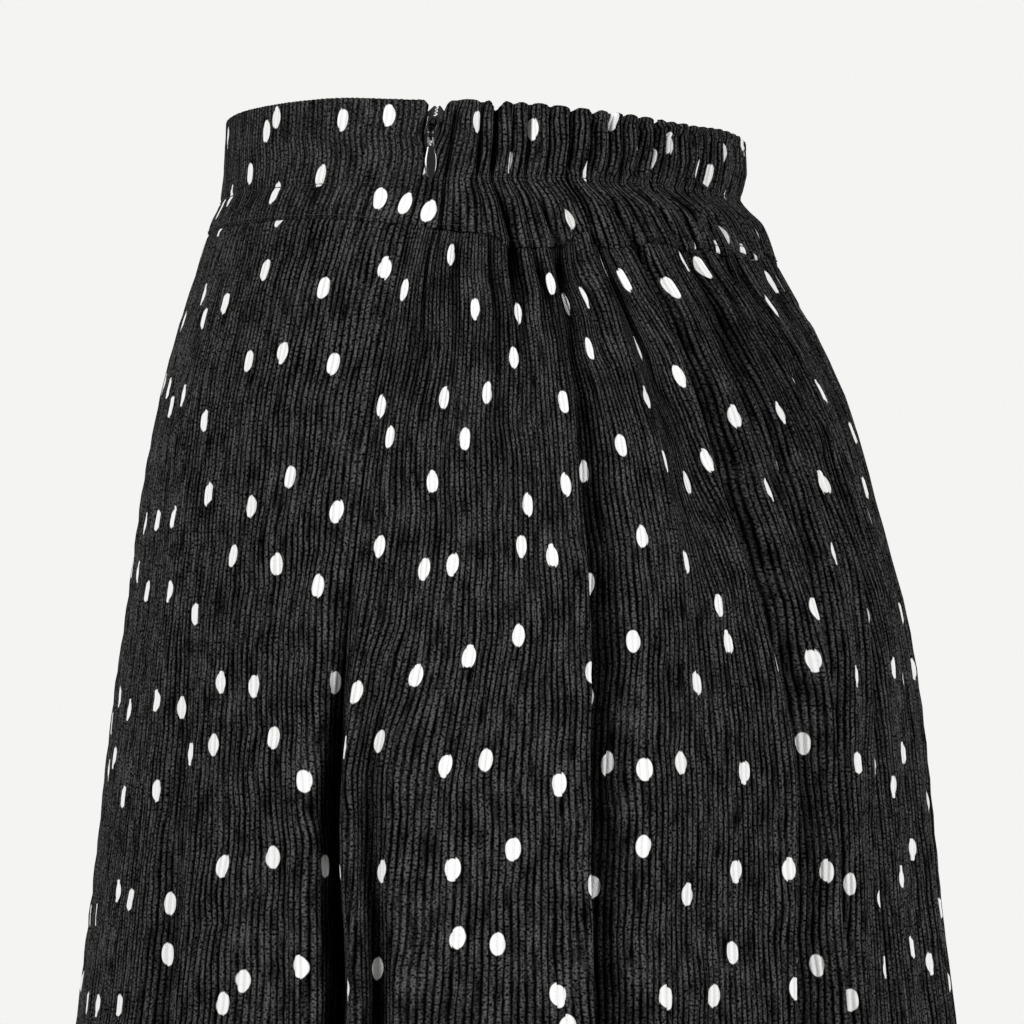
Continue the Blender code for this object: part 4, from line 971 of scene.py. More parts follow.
def make_panel(name, spread, folds, ribs, rows_near, rows_far, lines, seam_turn, seed,
               gathered, print_shift):
    """A panel of the skirt from the yoke seam to the hem."""
    levels, creases, tuck = panel_rows(rows_near, rows_far)
    guides = [fold_guide(fold, spread) for fold in folds]
    angles, crowded, runs = lay_ribs(levels, creases, spread, folds, False, guides, THIGH, ribs,
                                     seed)
    ribs_out = crowded * rib_relief(creases, ribs, PANEL_RISE, seed + 3)
    seam = read(lines, "seam", "angle", np.degrees(angles) - seam_turn) - SEAM_HALF_GAP
    down = (YOKE_SEAM_SIDE - levels)[:, None]
    share = down / (YOKE_SEAM_SIDE - HEM)
    heights = seam + share * (HEM - seam)
    cloth = np.arange(angles.shape[1]) / RIB_POINTS * RIB_FLAT
    loose = np.clip(down / 0.012, 0, 1) * np.clip((1 - share) / 0.03, 0, 1)
    crease = creases[:, None]
    heights += CREASE_WAVE * loose * wander(cloth / CREASE_WAVE_WIDE, crease, seed + 7)
    nearest = np.abs(crease - np.round(crease))
    relief = -CREASE_DENT * np.clip(1 - CREASE_NARROW * nearest, 0, 1) * loose
    waves = wander(cloth / SOFT_WAVE_WIDE, share * WAVES_DOWN, seed + 8)
    relief = relief + SOFT_WAVE * loose * waves
    hollow_shade = np.zeros_like(angles)
    if gathered:
        streak = wander(cloth / SHORT_FOLD_RUN, share * WAVES_DOWN, seed + 9)
        fade = np.exp(-down / SHORT_FOLD_REACH) * np.clip(down / 0.004, 0.35, 1)
        short = SHORT_FOLD * fade * (1 - np.abs(streak)) ** 3 + run_on(angles, heights, down)
        relief = relief - short
        # painted shade in the short folds under the gathered seam
        hollow_shade = np.clip(short / FULL_STREAK, 0, 1)
    edges = side_roll(angles, heights, angles[:, :1], angles[:, -1:])
    from_edge = np.minimum(angles - angles[:, :1], angles[:, -1:] - angles) * HIP_RADIUS
    beside = np.clip(from_edge / FLAT_BESIDE_SEAM, 0, 1)
    grid = make_shell(name, angles, heights, heights, folds, False, relief * beside, ribs_out,
                      np.maximum(tuck[:, None], edges), SKIRT_WALL, hollow_shade, print_shift)
    return grid, runs


# %% Front panel
def front_panel_spread(level):
    """Angles across the front panel at a height, from the right side seam to the left one."""
    first = float(right_seam(level) + SEAM_HALF_GAP / pace(pi, level))
    last = float(2 * pi + left_seam(level) - SEAM_HALF_GAP / pace(0.0, level))
    return np.linspace(first, last, FINE)


front_panel, front_runs = make_panel("skirt_front_cloth", front_panel_spread, FOLDS, FRONT_RIBS,
                                     FRONT_ROWS_NEAR, ROWS_FAR, YOKE_FRONT_LINES, 360, 41,
                                     False, (1.30, 0.10))
print("front panel measures", round(front_runs[0], 3), "m at the yoke and",
      round(front_runs[-1], 3), "m at the hem")

# %% Back panel
def back_panel_spread(level):
    """Angles across the back panel at a height, from the left side seam to the right one."""
    first = float(left_seam(level) + SEAM_HALF_GAP / pace(0.0, level))
    last = float(right_seam(level) - SEAM_HALF_GAP / pace(pi, level))
    return np.linspace(first, last, FINE)


back_panel, back_runs = make_panel("skirt_back_cloth", back_panel_spread, FOLDS, BACK_RIBS,
                                   BACK_ROWS_NEAR, ROWS_FAR, YOKE_BACK_LINES, 0, 51,
                                   True, (2.90, 0.60))
print("back panel measures", round(back_runs[0], 3), "m at the yoke and",
      round(back_runs[-1], 3), "m at the hem")

# %% [markdown]
# ## The zip's tapes and coils
#
# The concealed zip lies behind the left side seam, and only its top shows, where the two edges of
# the cloth part. Each half is a narrow woven tape with a rounded top and a coil of stiff nylon
# loops along its edge. One loop is modelled and copied down both tapes, half a step apart, so
# that the two coils mesh. At the slider's neck they part.

# %% Tapes and coils
TapeRow = namedtuple("TapeRow", "z outer")
TAPE_ROWS = (
    TapeRow(-0.1484, 0.0096),
    TapeRow(-0.1460, 0.0110),
    TapeRow(0.0070, 0.0110),
    TapeRow(0.0095, 0.0070),
    TapeRow(0.0110, 0.0042),
    TapeRow(0.0122, 0.0026),
    TapeRow(0.0132, 0.0018),
    TapeRow(0.0138, 0.0011),
)
CoilRow = namedtuple("CoilRow", "z edge")
COIL_ROWS = (
    CoilRow(-0.1484, 0.00002),
    CoilRow(0.0036, 0.00002),
    CoilRow(0.0052, 0.0013),
    CoilRow(0.0092, 0.0013),
    CoilRow(0.0106, 0.00002),
    CoilRow(0.0138, 0.00002),
)
TAPE_TOP = TAPE_ROWS[-1].z
TAPE_FOOT = TAPE_ROWS[0].z
TAPE_THIN = 0.0007
TAPE_BEHIND = 0.0009           # from the cloth's inside to the tape
PANEL_BEHIND = 0.0020          # the tapes lie at least this far under the panels' face
TAPE_COLUMNS = 5
TAPE_LEAST = 0.0004            # width left at the tape's tip
TAPE_LEVELS = np.concatenate([np.linspace(TAPE_TOP, 0.006, 14), np.linspace(0.002, -0.144, 26),
                              np.linspace(-0.1455, TAPE_FOOT, 3)])
TOOTH_PITCH = 0.00115
TOOTH_RADIUS = 0.00052
TOOTH_WIRE = 0.00021
TOOTH_SLANT = 16.0             # degrees
COIL_ENDS = 0.0008             # from a tape's end to its first loop


def behind_cloth(side, z, distances, deeper):
    """Points behind the cloth at a height, at distances from the middle of the zip.

    side is -1 for the tape in front of the seam and 1 for the one behind it.
    """
    angles = float(left_seam(z)) + side * np.asarray(distances) / float(pace(0.0, z))
    folds = FOLDS if z < YOKE_SEAM_SIDE else ()
    line = face(angles, np.full(len(angles), z), folds, 0.0)[0]
    under = YOKE_WALL if z > YOKE_SEAM_SIDE else PANEL_BEHIND
    flat = offset_line(line, side * (under + TAPE_BEHIND + deeper))
    return np.column_stack([flat, np.full(len(angles), z)])


def thin_shell(name, front, back):
    """A closed shell between two grids of points with the same rows and columns."""
    ahead = np.arange(front.size // 3).reshape(front.shape[:2])
    points = np.concatenate([front.reshape(-1, 3), back.reshape(-1, 3)])
    return add_piece(name, points, shell_faces(ahead, ahead + ahead.size))


def make_tape(name, side):
    """One woven tape, from its rounded top to its foot."""
    front, back = [], []
    for z in TAPE_LEVELS:
        inner = float(read(COIL_ROWS, "edge", "z", z)) + TOOTH_RADIUS
        outer = max(float(read(TAPE_ROWS, "outer", "z", z)), inner + TAPE_LEAST)
        distances = np.linspace(inner, outer, TAPE_COLUMNS)
        front.append(behind_cloth(side, z, distances, 0.0)[::side])
        back.append(behind_cloth(side, z, distances, TAPE_THIN)[::side])
    return thin_shell(name, np.array(front), np.array(back))


def coil_loop():
    """One flattened loop of the coil, lying level with its long way across the zip."""
    bpy.ops.object.select_all(action="DESELECT")
    bpy.ops.mesh.primitive_torus_add(major_radius=TOOTH_RADIUS, minor_radius=TOOTH_WIRE,
                                     major_segments=14, minor_segments=6)
    loop = bpy.context.object
    bpy.ops.object.mode_set(mode="EDIT")
    bpy.ops.mesh.select_all(action="SELECT")
    bpy.ops.transform.resize(value=(1.0, 0.85, 0.9), center_override=(0, 0, 0))
    bpy.ops.object.mode_set(mode="OBJECT")
    return loop


def copied(name, model, places):
    """One piece of many copies of a model, each moved and turned by its own matrix."""
    points = np.array([list(point.co) + [1.0] for point in model.data.vertices])
    corners = [np.array(list(polygon.vertices)) for polygon in model.data.polygons]
    moved = [(points @ np.array(place).T)[:, :3] for place in places]
    faces = [(of_face + number * len(points)).tolist()
             for number in range(len(places)) for of_face in corners]
    return add_piece(name, np.concatenate(moved), faces)


def axes(along, across, upright):
    """The matrix that turns X, Y and Z to three directions."""
    return Matrix((along, across, upright)).transposed().to_4x4()


def coil_places(side):
    """Where the loops of one coil lie: a matrix for each."""
    places = []
    slant = Matrix.Rotation(radians(TOOTH_SLANT), 4, "Y")
    start = TAPE_TOP - COIL_ENDS - (TOOTH_PITCH / 2 if side > 0 else 0.0)
    for z in np.arange(start, TAPE_FOOT + COIL_ENDS, -TOOTH_PITCH):
        middle = float(read(COIL_ROWS, "edge", "z", z)) + TOOTH_RADIUS
        near, far = behind_cloth(side, z, [middle, middle + 0.001], TAPE_THIN * 0.6)
        outwards = Vector(far - near).normalized()
        turn = axes(outwards, Vector((0, 0, 1)).cross(outwards), Vector((0, 0, 1)))
        places.append(Matrix.Translation(Vector(near)) @ turn @ slant)
    return places


tapes = [make_tape("zip_tape_front_woven", -1), make_tape("zip_tape_back_woven", 1)]
loop = coil_loop()
coils = [copied("zip_coil_front", loop, coil_places(-1)),
         copied("zip_coil_back", loop, coil_places(1))]
bpy.data.objects.remove(loop)
print("loops on each tape:", len(coil_places(-1)))

# %% [markdown]
# ## The slider and its pull
#
# In front of the cloth the slider shows a rounded frame with a hole, which its neck joins to the
# body behind the tapes. The pull hangs from the frame's lower bar by two wire eyes and ends in a
# smooth drop. Both are modelled at the hinge, with X out of the cloth, Y along the bar and Z up,
# and then moved to where the record has the hinge.

# %% Sizes of the slider and the pull, in hinge axes
joint = frame["record"]["behaviour"]["joints"][0]
HINGE = Vector(joint["pos_m"])
ALONG = -Vector(joint["axis"])
OUTWARD = ALONG.cross(Vector((0, 0, 1)))
AT_HINGE = Matrix.Translation(HINGE) @ axes(OUTWARD, ALONG, Vector((0, 0, 1)))
LEAN = 0.21                    # the seam leans by this much for each step up
SEAM_LEAN = Matrix(((1, 0, 0, 0), (0, 1, LEAN, 0), (0, 0, 1, 0), (0, 0, 0, 1)))
PULL_LIES = -6.23              # degrees by which the pull stands out along the cloth
FRAME_WIDE = 0.0049
FRAME_TALL = 0.0068
FRAME_WIRE = 0.0011
FRAME_FOOT = -0.00045          # the frame's lower edge, under the middle of its bar
BODY_SIZE = (0.0022, 0.0060, 0.0085)
BODY_BACK = -0.0080            # the middle of the body, behind the hinge
BODY_FOOT = -0.0018
NECK_TALL = 0.0022
NECK_WIDE = 0.0015
EYE_RADIUS = 0.00120
EYE_WIRE = 0.00038
EYES_APART = 0.0017
PULL_NECK = 0.0046             # from the hinge to the top of the drop
WIRE_ROUND = 0.0003
FRAME_ROUND = 0.00034
BODY_ROUND = 0.0006
LEG_SUNK = 0.0006              # the legs reach this far into the drop
DrawnRow = namedtuple("DrawnRow", "down wide thick out")
DROP_ROWS = (
    DrawnRow(0.0000, 0.0022, 0.00060, 0.0),
    DrawnRow(0.0004, 0.0029, 0.00085, 0.0),
    DrawnRow(0.0014, 0.0032, 0.00100, 0.0),
    DrawnRow(0.0032, 0.0041, 0.00115, 0.0),
    DrawnRow(0.0052, 0.0047, 0.00120, 0.0),
    DrawnRow(0.0074, 0.0046, 0.00120, 0.0),
    DrawnRow(0.0094, 0.0040, 0.00110, 0.0),
    DrawnRow(0.0110, 0.0031, 0.00095, 0.0),
    DrawnRow(0.0119, 0.0021, 0.00075, 0.0),
    DrawnRow(0.0123, 0.0010, 0.00050, 0.0),
)


# %% Modelling helpers
def edited(piece, operation, **settings):
    """One edit-mode operator on all of a piece."""
    bpy.ops.object.mode_set(mode="EDIT")
    bpy.ops.mesh.select_all(action="SELECT")
    operation(**settings)
    bpy.ops.object.mode_set(mode="OBJECT")
    return piece


def apply_modifier(piece, kind, **settings):
    """Add a modifier to a piece and apply it."""
    modifier = piece.modifiers.new(kind.lower(), kind)
    for name, value in settings.items():
        setattr(modifier, name, value)
    bpy.ops.object.select_all(action="DESELECT")
    piece.select_set(True)
    bpy.context.view_layer.objects.active = piece
    bpy.ops.object.modifier_apply(modifier=modifier.name)


def block(size, middle, rounding):
    """A cube brought to its size and place, with rounded edges."""
    bpy.ops.object.select_all(action="DESELECT")
    bpy.ops.mesh.primitive_cube_add(size=1.0)
    piece = bpy.context.object
    edited(piece, bpy.ops.transform.resize, value=size, center_override=(0, 0, 0))
    edited(piece, bpy.ops.transform.translate, value=middle)
    if rounding > 0:
        apply_modifier(piece, "BEVEL", width=rounding, segments=4, limit_method="ANGLE")
    return piece


def drawn(rows, sides):
    """A bar drawn down row by row from a flat oval, with each row's width, thickness and place."""
    bpy.ops.object.select_all(action="DESELECT")
    bpy.ops.mesh.primitive_circle_add(vertices=sides, radius=0.5, fill_type="NGON")
    piece = bpy.context.object
    before = rows[0]
    edited(piece, bpy.ops.transform.resize, value=(before.thick, before.wide, 1.0),
           center_override=(0, 0, 0))
    edited(piece, bpy.ops.transform.translate, value=(before.out, 0, -before.down))
    bpy.ops.object.mode_set(mode="EDIT")
    bpy.ops.mesh.select_all(action="SELECT")
    for row in rows[1:]:
        step = (row.out - before.out, 0, before.down - row.down)
        bpy.ops.mesh.extrude_region_move(TRANSFORM_OT_translate={"value": step})
        bpy.ops.transform.resize(value=(row.thick / before.thick, row.wide / before.wide, 1.0),
                                 center_override=(row.out, 0, -row.down))
        before = row
    bpy.ops.mesh.select_all(action="SELECT")
    bpy.ops.mesh.normals_make_consistent(inside=False)
    bpy.ops.object.mode_set(mode="OBJECT")
    return piece


def joined(name, pieces):
    """Several pieces as one."""
    bpy.ops.object.select_all(action="DESELECT")
    for piece in pieces:
        piece.select_set(True)
    bpy.context.view_layer.objects.active = pieces[0]
    bpy.ops.object.join()
    pieces[0].name = name
    pieces[0].data.shade_smooth()
    print(name, len(pieces[0].data.polygons), "faces")
    return pieces[0]


# %% Slider
def slider_frame():
    """The frame in front: a rounded block with a hole through it."""
    piece = block((FRAME_WIRE, FRAME_WIDE, FRAME_TALL), (0, 0, FRAME_FOOT + FRAME_TALL / 2), 0)
    bpy.ops.object.mode_set(mode="EDIT")
    bpy.ops.mesh.select_mode(type="FACE")
    bpy.ops.mesh.select_all(action="DESELECT")
    bpy.ops.object.mode_set(mode="OBJECT")
    for polygon in piece.data.polygons:
        polygon.select = abs(polygon.normal.x) > 0.9
    bpy.ops.object.mode_set(mode="EDIT")
    bpy.ops.mesh.inset(thickness=FRAME_WIRE)
    bpy.ops.mesh.bridge_edge_loops()
    bpy.ops.object.mode_set(mode="OBJECT")
    apply_modifier(piece, "BEVEL", width=FRAME_ROUND, segments=2, limit_method="ANGLE")
    apply_modifier(piece, "SUBSURF", levels=2)
    return piece


neck_top = FRAME_FOOT + FRAME_TALL - FRAME_WIRE / 2
neck = block((-BODY_BACK, NECK_WIDE, NECK_TALL), (BODY_BACK / 2, 0, neck_top - NECK_TALL / 2),
             WIRE_ROUND)
body = block(BODY_SIZE, (BODY_BACK, 0, BODY_FOOT + BODY_SIZE[2] / 2), BODY_ROUND)
slider = joined("zip_slider_metal", [slider_frame(), body, neck])
slider.data.transform(AT_HINGE @ SEAM_LEAN)

# %% Pull
def pull_wire():
    """An eye round the bar and the leg from it to the drop."""
    bpy.ops.object.select_all(action="DESELECT")
    bpy.ops.mesh.primitive_torus_add(major_radius=EYE_RADIUS, minor_radius=EYE_WIRE,
                                     major_segments=28, minor_segments=10,
                                     rotation=(pi / 2, 0, 0))
    eye = bpy.context.object
    bpy.ops.object.transform_apply(location=False, rotation=True, scale=False)
    edited(eye, bpy.ops.transform.resize, value=(0.96, 1.0, 1.0), center_override=(0, 0, 0))
    long = PULL_NECK - EYE_RADIUS + LEG_SUNK
    leg = block((2 * EYE_WIRE, 2 * EYE_WIRE, long), (0, 0, -EYE_RADIUS - long / 2), WIRE_ROUND)
    return joined("zip_pull_wire", [eye, leg])


wire = pull_wire()
wires = copied("zip_pull_wires", wire,
               [Matrix.Translation((0, side * EYES_APART / 2, 0)) for side in (-1, 1)])
bpy.data.objects.remove(wire)
drop = drawn(DROP_ROWS, 20)
apply_modifier(drop, "SUBSURF", levels=2)
edited(drop, bpy.ops.transform.translate, value=(0, 0, -PULL_NECK))
pull = joined("zip_pull_metal", [drop, wires])
pull.data.transform(AT_HINGE @ Matrix.Rotation(radians(PULL_LIES), 4, "Y"))

# %% [markdown]
# ## Stitching
#
# A row of lockstitch holds the elastic casing down, another runs beside the yoke seam, and one
# holds the narrow hem. A stitch is a short bowed thread. One is modelled and copied over each rib,
# so the rows are read off the outer grids of the cloth.

# %% Stitches
STITCH_ROWS = (
    DrawnRow(-0.50, 0.10, 0.10, -0.10),
    DrawnRow(-0.42, 0.16, 0.16, -0.03),
    DrawnRow(-0.20, 0.18, 0.18, 0.05),
    DrawnRow(0.20, 0.18, 0.18, 0.05),
    DrawnRow(0.42, 0.16, 0.16, -0.03),
    DrawnRow(0.50, 0.10, 0.10, -0.10),
)
STITCH_SIDES = 6
THREAD_SIZE = 0.0017           # the model stitch's unit, across the thread
STITCH_SHARE = (0.15, 0.85)    # of each rib's width, from end to end of a stitch
STITCH_STRETCH = 1.15          # and its ends dip into the cloth beyond that
THREAD_PROUD = 0.00012         # how far a stitch stands off the cloth
HEM_STITCH = 0.0065            # above the hem
SEAM_ROW = -4                  # the row of a yoke's grid where its rolled edge begins


def row_above(outer, up):
    """A line across a panel's outer grid, some way above its hem."""
    share = up / (outer[-2, :, 2] - outer[-1, :, 2])
    return outer[-1] * (1 - share[:, None]) + outer[-2] * share[:, None]


def stitch_places(line):
    """A matrix for each stitch along a row: on the ribs of one line of the cloth's grid."""
    flat = offset_line(line[:, :2], -THREAD_PROUD)
    number = np.arange(len(line))
    first = RIB_POINTS * np.arange(1, (len(line) - 1) // RIB_POINTS - 1)
    ends = [np.column_stack([np.interp(first + RIB_POINTS * share, number, values)
                             for values in (flat[:, 0], flat[:, 1], line[:, 2])])
            for share in (STITCH_SHARE[0], 0.5, STITCH_SHARE[1])]
    places = []
    for start, middle, end in zip(*ends):
        along = Vector(end - start)
        out = Vector((0, 0, 1)).cross(along).normalized() * -1
        turn = axes(out, along.normalized().cross(out) * -1, along.normalized() * -1)
        size = Matrix.Diagonal((THREAD_SIZE, THREAD_SIZE, along.length * STITCH_STRETCH, 1.0))
        places.append(Matrix.Translation(Vector(middle)) @ turn @ size)
    return places


def sewn(name, lines):
    """One piece of stitches along some lines of the cloth."""
    places = [place for line in lines for place in stitch_places(line)]
    print(name, "stitches:", len(places))
    return copied(name, stitch, places)


levels_of_yoke = yoke_rows(CASING_TOP, YOKE_SEAM_SIDE, YOKE_MIDDLE_ROWS)[0]
casing_row = int(np.argmin(np.abs(levels_of_yoke - CASING_FOOT)))
yokes = (front_yoke, back_yoke)
stitch = drawn(STITCH_ROWS, STITCH_SIDES)
stitching = [
    sewn("casing_stitches", [yoke.outer[casing_row] for yoke in yokes]),
    sewn("seam_stitches", [yoke.outer[SEAM_ROW] for yoke in yokes]),
    sewn("hem_stitches", [row_above(panel.outer, HEM_STITCH)
                          for panel in (front_panel, back_panel)]),
]
bpy.data.objects.remove(stitch)

# %% [markdown]
# ## Shader maths
#
# A material here is a node tree, but sums are easier to read than boxes and wires. A small class
# wraps a socket and lets ordinary operators add Math nodes; every other node comes from one
# method that takes its type, its settings and its sockets.

# %% Wires and paints
class Wire:
    """A socket that can be reckoned with."""

    def __init__(self, paint, socket):
        self.paint = paint
        self.socket = socket

    def math(self, operation, *others):
        """A Math node on this socket and others."""
        sockets = dict(enumerate((self,) + others))
        return self.paint.add("ShaderNodeMath", {"operation": operation}, sockets)

    def __add__(self, other):
        return self.math("ADD", other)

    def __mul__(self, other):
        return self.math("MULTIPLY", other)

    def __sub__(self, other):
        return self.math("SUBTRACT", other)

    def __rsub__(self, other):
        return (self * -1.0).math("ADD", other)

    def __truediv__(self, other):
        return self.math("DIVIDE", other)

    __radd__ = __add__
    __rmul__ = __mul__


class Paint:
    """A material and one way to add any node to it."""

    def __init__(self, name):
        self.material = bpy.data.materials.new(name)
        self.material.use_nodes = True
        self.tree = self.material.node_tree
        self.tree.nodes.clear()

    def add(self, kind, settings, sockets, output=0):
        """A node of a kind, with its settings set first and then its sockets."""
        node = self.tree.nodes.new(kind)
        for name, value in settings.items():
            setattr(node, name, value)
        for name, value in sockets.items():
            if isinstance(value, Wire):
                self.tree.links.new(value.socket, node.inputs[name])
            else:
                node.inputs[name].default_value = value
        return Wire(self, node.outputs[output] if node.outputs else None)

    def step(self, value, low, high):
        """0 below one value and 1 above another, soft in between."""
        return self.add("ShaderNodeMapRange", {"interpolation_type": "SMOOTHSTEP"},
                        {"Value": value, "From Min": low, "From Max": high})

    def mix(self, factor, colour_a, colour_b):
        """One colour over another."""
        return self.add("ShaderNodeMix", {"data_type": "RGBA"},
                        {"Factor": factor, 6: colour_a, 7: colour_b}, 2)

    def finish(self, sockets):
        """The Principled shader on the material's output."""
        shader = self.add("ShaderNodeBsdfPrincipled", {}, sockets)
        self.add("ShaderNodeOutputMaterial", {}, {"Surface": shader})
        return self.material


def grey(value):
    """An opaque grey."""
    return (value, value, value, 1.0)


# %% [markdown]
# ## The cloth's finish
#
# The cloth is a matt black with no specular reflection, and the light on its ribs is painted into
# its colour: painted highlights on the ridges, and painted shade in the valleys, in the long folds
# and in the dents of the gathers. Close up it has the speckle of its threads. The dots were printed
# on the flat cloth, one in each cell of a loose scatter, and the crinkle squeezed them into ovals
# with stepped edges. They too get painted shade in the rib valleys.

# %% Cloth material
DOT_CELL_WIDE = 0.0232
DOT_CELL_TALL = 0.0355
DOT_RADIUS = 0.115             # in cells, so that the dots come out taller than wide
DOT_SOFT = 0.008
DOT_SCATTER = 0.74
DOT_STEP = 0.0012              # neighbouring ribs shift the print up or down by half of this
THREADS = 1150.0               # to a metre
# The cloth's black runs from painted shade in the rib valleys to a painted highlight on the ridges.
VALLEY_PAINTED_SHADE = grey(0.0005)
RIDGE_PAINTED_LIGHT = grey(0.0730)
PRINT_WHITE = (0.76, 0.765, 0.75, 1)
# the print's painted shade in the rib valleys
PRINT_PAINTED_SHADE = (0.50, 0.50, 0.49, 1)
PRESSED_LEAST = 0.14           # painted light in the pressed front yoke's valleys is at least this much
HOLLOW_DARK = 0.97             # share of the cloth's painted light taken away as painted shade in a full hollow


def cloth_paint():
    """The crinkled cloth: black with a scatter of white dots."""
    paint = Paint("crinkled_cloth")
    flat = paint.add("ShaderNodeUVMap", {"uv_map": "flat_cloth"}, {})
    inside = paint.add("ShaderNodeAttribute", {"attribute_name": "inside"}, {}, 2)
    hollow_shade = paint.add("ShaderNodeAttribute", {"attribute_name": "hollow_shade"}, {}, 2)
    across = paint.add("ShaderNodeSeparateXYZ", {}, {"Vector": flat}, 0)
    down = paint.add("ShaderNodeSeparateXYZ", {}, {"Vector": flat}, 1)
    waver = paint.add("ShaderNodeTexNoise", {"noise_dimensions": "2D"},
                      {"Vector": paint.add("ShaderNodeCombineXYZ", {},
                                           {0: across / RIB_FLAT, 1: down / 0.009}),
                       "Scale": 0.8, "Detail": 2.0})
    rib = across / RIB_FLAT
    phase = rib.math("FRACT")
    valley = (phase + (waver - 0.5) * 0.35 - 0.5).math("ABSOLUTE") * 2.0
    ridge = 1 - valley * valley
    # painted highlight on each rib's two flanks
    half = (valley - 0.5).math("ABSOLUTE") * 2.0
    flank_light = (1 - half * half).math("MAXIMUM", 0.0)
    chance = paint.add("ShaderNodeTexWhiteNoise", {"noise_dimensions": "1D"},
                       {"W": rib.math("FLOOR")})
    stepped = down + (chance - 0.5) * DOT_STEP
    place = paint.add("ShaderNodeCombineXYZ", {},
                      {0: across / DOT_CELL_WIDE, 1: stepped / DOT_CELL_TALL})
    away = paint.add("ShaderNodeTexVoronoi", {"voronoi_dimensions": "2D"},
                     {"Vector": place, "Scale": 1.0, "Randomness": DOT_SCATTER})
    dot = 1 - paint.step(away, DOT_RADIUS - DOT_SOFT, DOT_RADIUS + DOT_SOFT)
    dot = dot * (1 - inside)
    threads = paint.add("ShaderNodeTexNoise", {},
                        {"Vector": flat, "Scale": THREADS, "Detail": 0.5, "Roughness": 0.5})
    clouds = paint.add("ShaderNodeTexNoise", {},
                       {"Vector": flat, "Scale": 45.0, "Detail": 3.0, "Roughness": 0.6})
    streaks = paint.add("ShaderNodeTexNoise", {"noise_dimensions": "2D"},
                        {"Vector": paint.add("ShaderNodeCombineXYZ", {},
                                             {0: across / (RIB_FLAT * 1.3), 1: down / 0.012}),
                         "Scale": 1.0, "Detail": 2.0})
    narrow = paint.add("ShaderNodeTexNoise", {"noise_dimensions": "2D"},
                       {"Vector": paint.add("ShaderNodeCombineXYZ", {},
                                            {0: across / (RIB_FLAT * 2.2), 1: down / 0.020}),
                        "Scale": 1.0, "Detail": 1.0})
    # painted light on the ridges: a bright core, stronger on the flanks, varied by thread speckle
    # and patches
    sharp = (5.6 - narrow * 6.0).math("MAXIMUM", 0.9)
    core = ridge.math("MAXIMUM", 0.0).math("POWER", sharp)
    pressed_less_shade = paint.add("ShaderNodeAttribute", {"attribute_name": "pressed_less_shade"}, {}, 2)
    ridge_light = (core * (0.45 + flank_light * 0.55)).math("MAXIMUM", clouds * 1.1 - 0.55)
    ridge_light = ridge_light.math("MAXIMUM", pressed_less_shade * PRESSED_LEAST)
    light = ridge_light * (threads * 4.0 - 1.2) * (streaks * 2.4 - 0.40) * (0.5 + clouds)
    # painted shade in the folds, dents and short folds
    light = light * (1 - hollow_shade * HOLLOW_DARK)
    # painted shade in the valleys, painted highlight on the ridges
    black = paint.mix(light, VALLEY_PAINTED_SHADE, RIDGE_PAINTED_LIGHT)
    # the print gets painted shade in the rib valleys
    white = paint.mix(valley * valley * 0.5, PRINT_WHITE, PRINT_PAINTED_SHADE)
    colour = paint.mix(dot, black, white)
    height = threads * 0.00025 + ridge * (0.00020 + inside * 0.00020)
    normal = paint.add("ShaderNodeBump", {}, {"Strength": 0.7, "Distance": 1.0, "Height": height})
    rough = 0.70 + threads * 0.20
    return paint.finish({"Base Color": colour, "Roughness": rough, "Normal": normal,
                         "Specular IOR Level": 0.0})


cloth_material = cloth_paint()
print("cloth material has", len(cloth_material.node_tree.nodes), "nodes")

# %% [markdown]
# ## Tape, thread and metal
#
# The zip's tape is a plain black weave, its coil and the sewing thread are black nylon, and the
# slider and its pull are black-plated metal that mirrors the lamps.

# %% Other materials
def tape_paint():
    """Woven zip tape."""
    paint = Paint("woven_tape")
    spot = paint.add("ShaderNodeTexCoord", {}, {}, 3)
    weave = paint.add("ShaderNodeTexNoise", {},
                      {"Vector": spot, "Scale": 2400.0, "Detail": 1.0})
    colour = paint.mix(weave, grey(0.004), grey(0.016))
    normal = paint.add("ShaderNodeBump", {}, {"Strength": 0.7, "Distance": 1.0,
                                              "Height": weave * 0.00012})
    return paint.finish({"Base Color": colour, "Roughness": 0.62 + weave * 0.2,
                         "Normal": normal})


def nylon_paint(name, dark, pale, gloss):
    """Black nylon: the coil's stiff wire, or sewing thread."""
    paint = Paint(name)
    spot = paint.add("ShaderNodeTexCoord", {}, {}, 3)
    fleck = paint.add("ShaderNodeTexNoise", {}, {"Vector": spot, "Scale": 1500.0, "Detail": 1.0})
    colour = paint.mix(fleck, grey(dark), grey(pale))
    return paint.finish({"Base Color": colour, "Roughness": gloss + fleck * 0.15})


def metal_paint():
    """Black plating, glossy, with faint rubbing."""
    paint = Paint("black_plating")
    spot = paint.add("ShaderNodeTexCoord", {}, {}, 3)
    rubbed = paint.add("ShaderNodeTexNoise", {},
                       {"Vector": spot, "Scale": 900.0, "Detail": 3.0})
    colour = paint.mix(rubbed, grey(0.004), grey(0.012))
    return paint.finish({"Base Color": colour, "Roughness": 0.07 + rubbed * 0.10,
                         "Specular IOR Level": 0.6, "Coat Weight": 0.3})


def floor_paint():
    """A pale matt floor."""
    paint = Paint("pale_floor")
    spot = paint.add("ShaderNodeTexCoord", {}, {}, 3)
    mottle = paint.add("ShaderNodeTexNoise", {}, {"Vector": spot, "Scale": 6.0, "Detail": 4.0})
    colour = paint.mix(mottle, grey(0.60), grey(0.63))
    return paint.finish({"Base Color": colour, "Roughness": 0.8})


tape_material = tape_paint()
coil_material = nylon_paint("coil_nylon", 0.003, 0.012, 0.36)
thread_material = nylon_paint("sewing_thread", 0.004, 0.030, 0.45)
metal_material = metal_paint()
floor.data.materials.append(floor_paint())
print("materials:", len(bpy.data.materials))
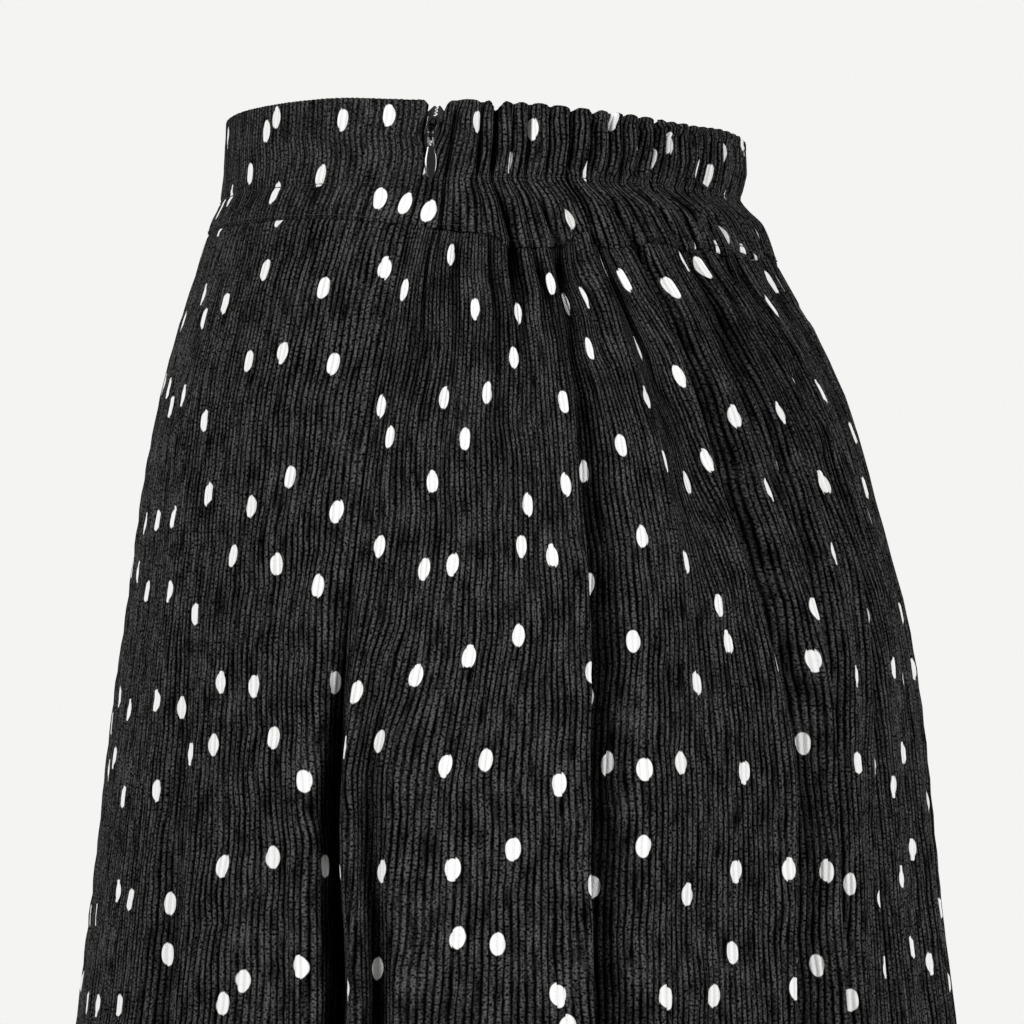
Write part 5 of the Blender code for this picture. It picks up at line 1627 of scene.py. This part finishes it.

# %% [markdown]
# ## Sewing it on
#
# Each shell stands for its solid and rides with the skirt, and the size that it was cut to is
# printed. A panel's cut is measured on the crinkled cloth laid flat: its widest run, its length,
# and the area that its rows enclose. The pull rides on its own body, which swings.

def flat_area(levels, runs):
    """Area of a panel whose rows have these runs."""
    return float(np.sum((runs[:-1] + runs[1:]) / 2 * np.abs(np.diff(levels))))


PANEL_LEVELS_FRONT = panel_rows(FRONT_ROWS_NEAR, ROWS_FAR)[0]
PANEL_LEVELS_BACK = panel_rows(BACK_ROWS_NEAR, ROWS_FAR)[0]
YOKE_LONG = 0.046              # top edge to yoke seam
YOKE_RUN_FRONT = 0.36
YOKE_RUN_BACK = 0.47
Cut = namedtuple("Cut", "grid node wide long area held")
CUTS = (
    Cut(front_yoke, "yoke_front", YOKE_RUN_FRONT, YOKE_LONG, YOKE_RUN_FRONT * YOKE_LONG, "hung"),
    Cut(back_yoke, "yoke_back", YOKE_RUN_BACK, YOKE_LONG, YOKE_RUN_BACK * YOKE_LONG, "gathered"),
    Cut(front_panel, "skirt_front", float(front_runs[-1]), YOKE_SEAM_SIDE - HEM,
        flat_area(PANEL_LEVELS_FRONT, front_runs), "hung"),
    Cut(back_panel, "skirt_back", float(back_runs[-1]), YOKE_SEAM_SIDE - HEM,
        flat_area(PANEL_LEVELS_BACK, back_runs), "gathered"),
)
for cut in CUTS:
    cut.grid.piece.data.materials.append(cloth_material)
    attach(cut.grid.piece, "skirt")
    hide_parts(cut.node)
    print(cut.node, "cut", round(cut.wide, 3), "x", round(cut.long, 3), "m, area",
          round(cut.area, 4), "m2")

for tape, node in zip(tapes, ("zip_tape_front", "zip_tape_back")):
    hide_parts(node)
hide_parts("zip_slider")
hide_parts("zip_pull")
Dress = namedtuple("Dress", "pieces material slot body")
DRESSES = (
    Dress(tapes, tape_material, "zip_tape", "skirt"),
    Dress(coils, coil_material, "zip_tape", "skirt"),
    Dress(stitching, thread_material, "crinkle_cloth", "skirt"),
    Dress([slider], metal_material, "black_metal", "skirt"),
    Dress([pull], metal_material, "black_metal", "pull"),
)
for dress in DRESSES:
    for piece in dress.pieces:
        piece.data.materials.clear()
        piece.data.materials.append(dress.material)
        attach(piece, dress.body)
        print(piece.name, "rides on", dress.body)
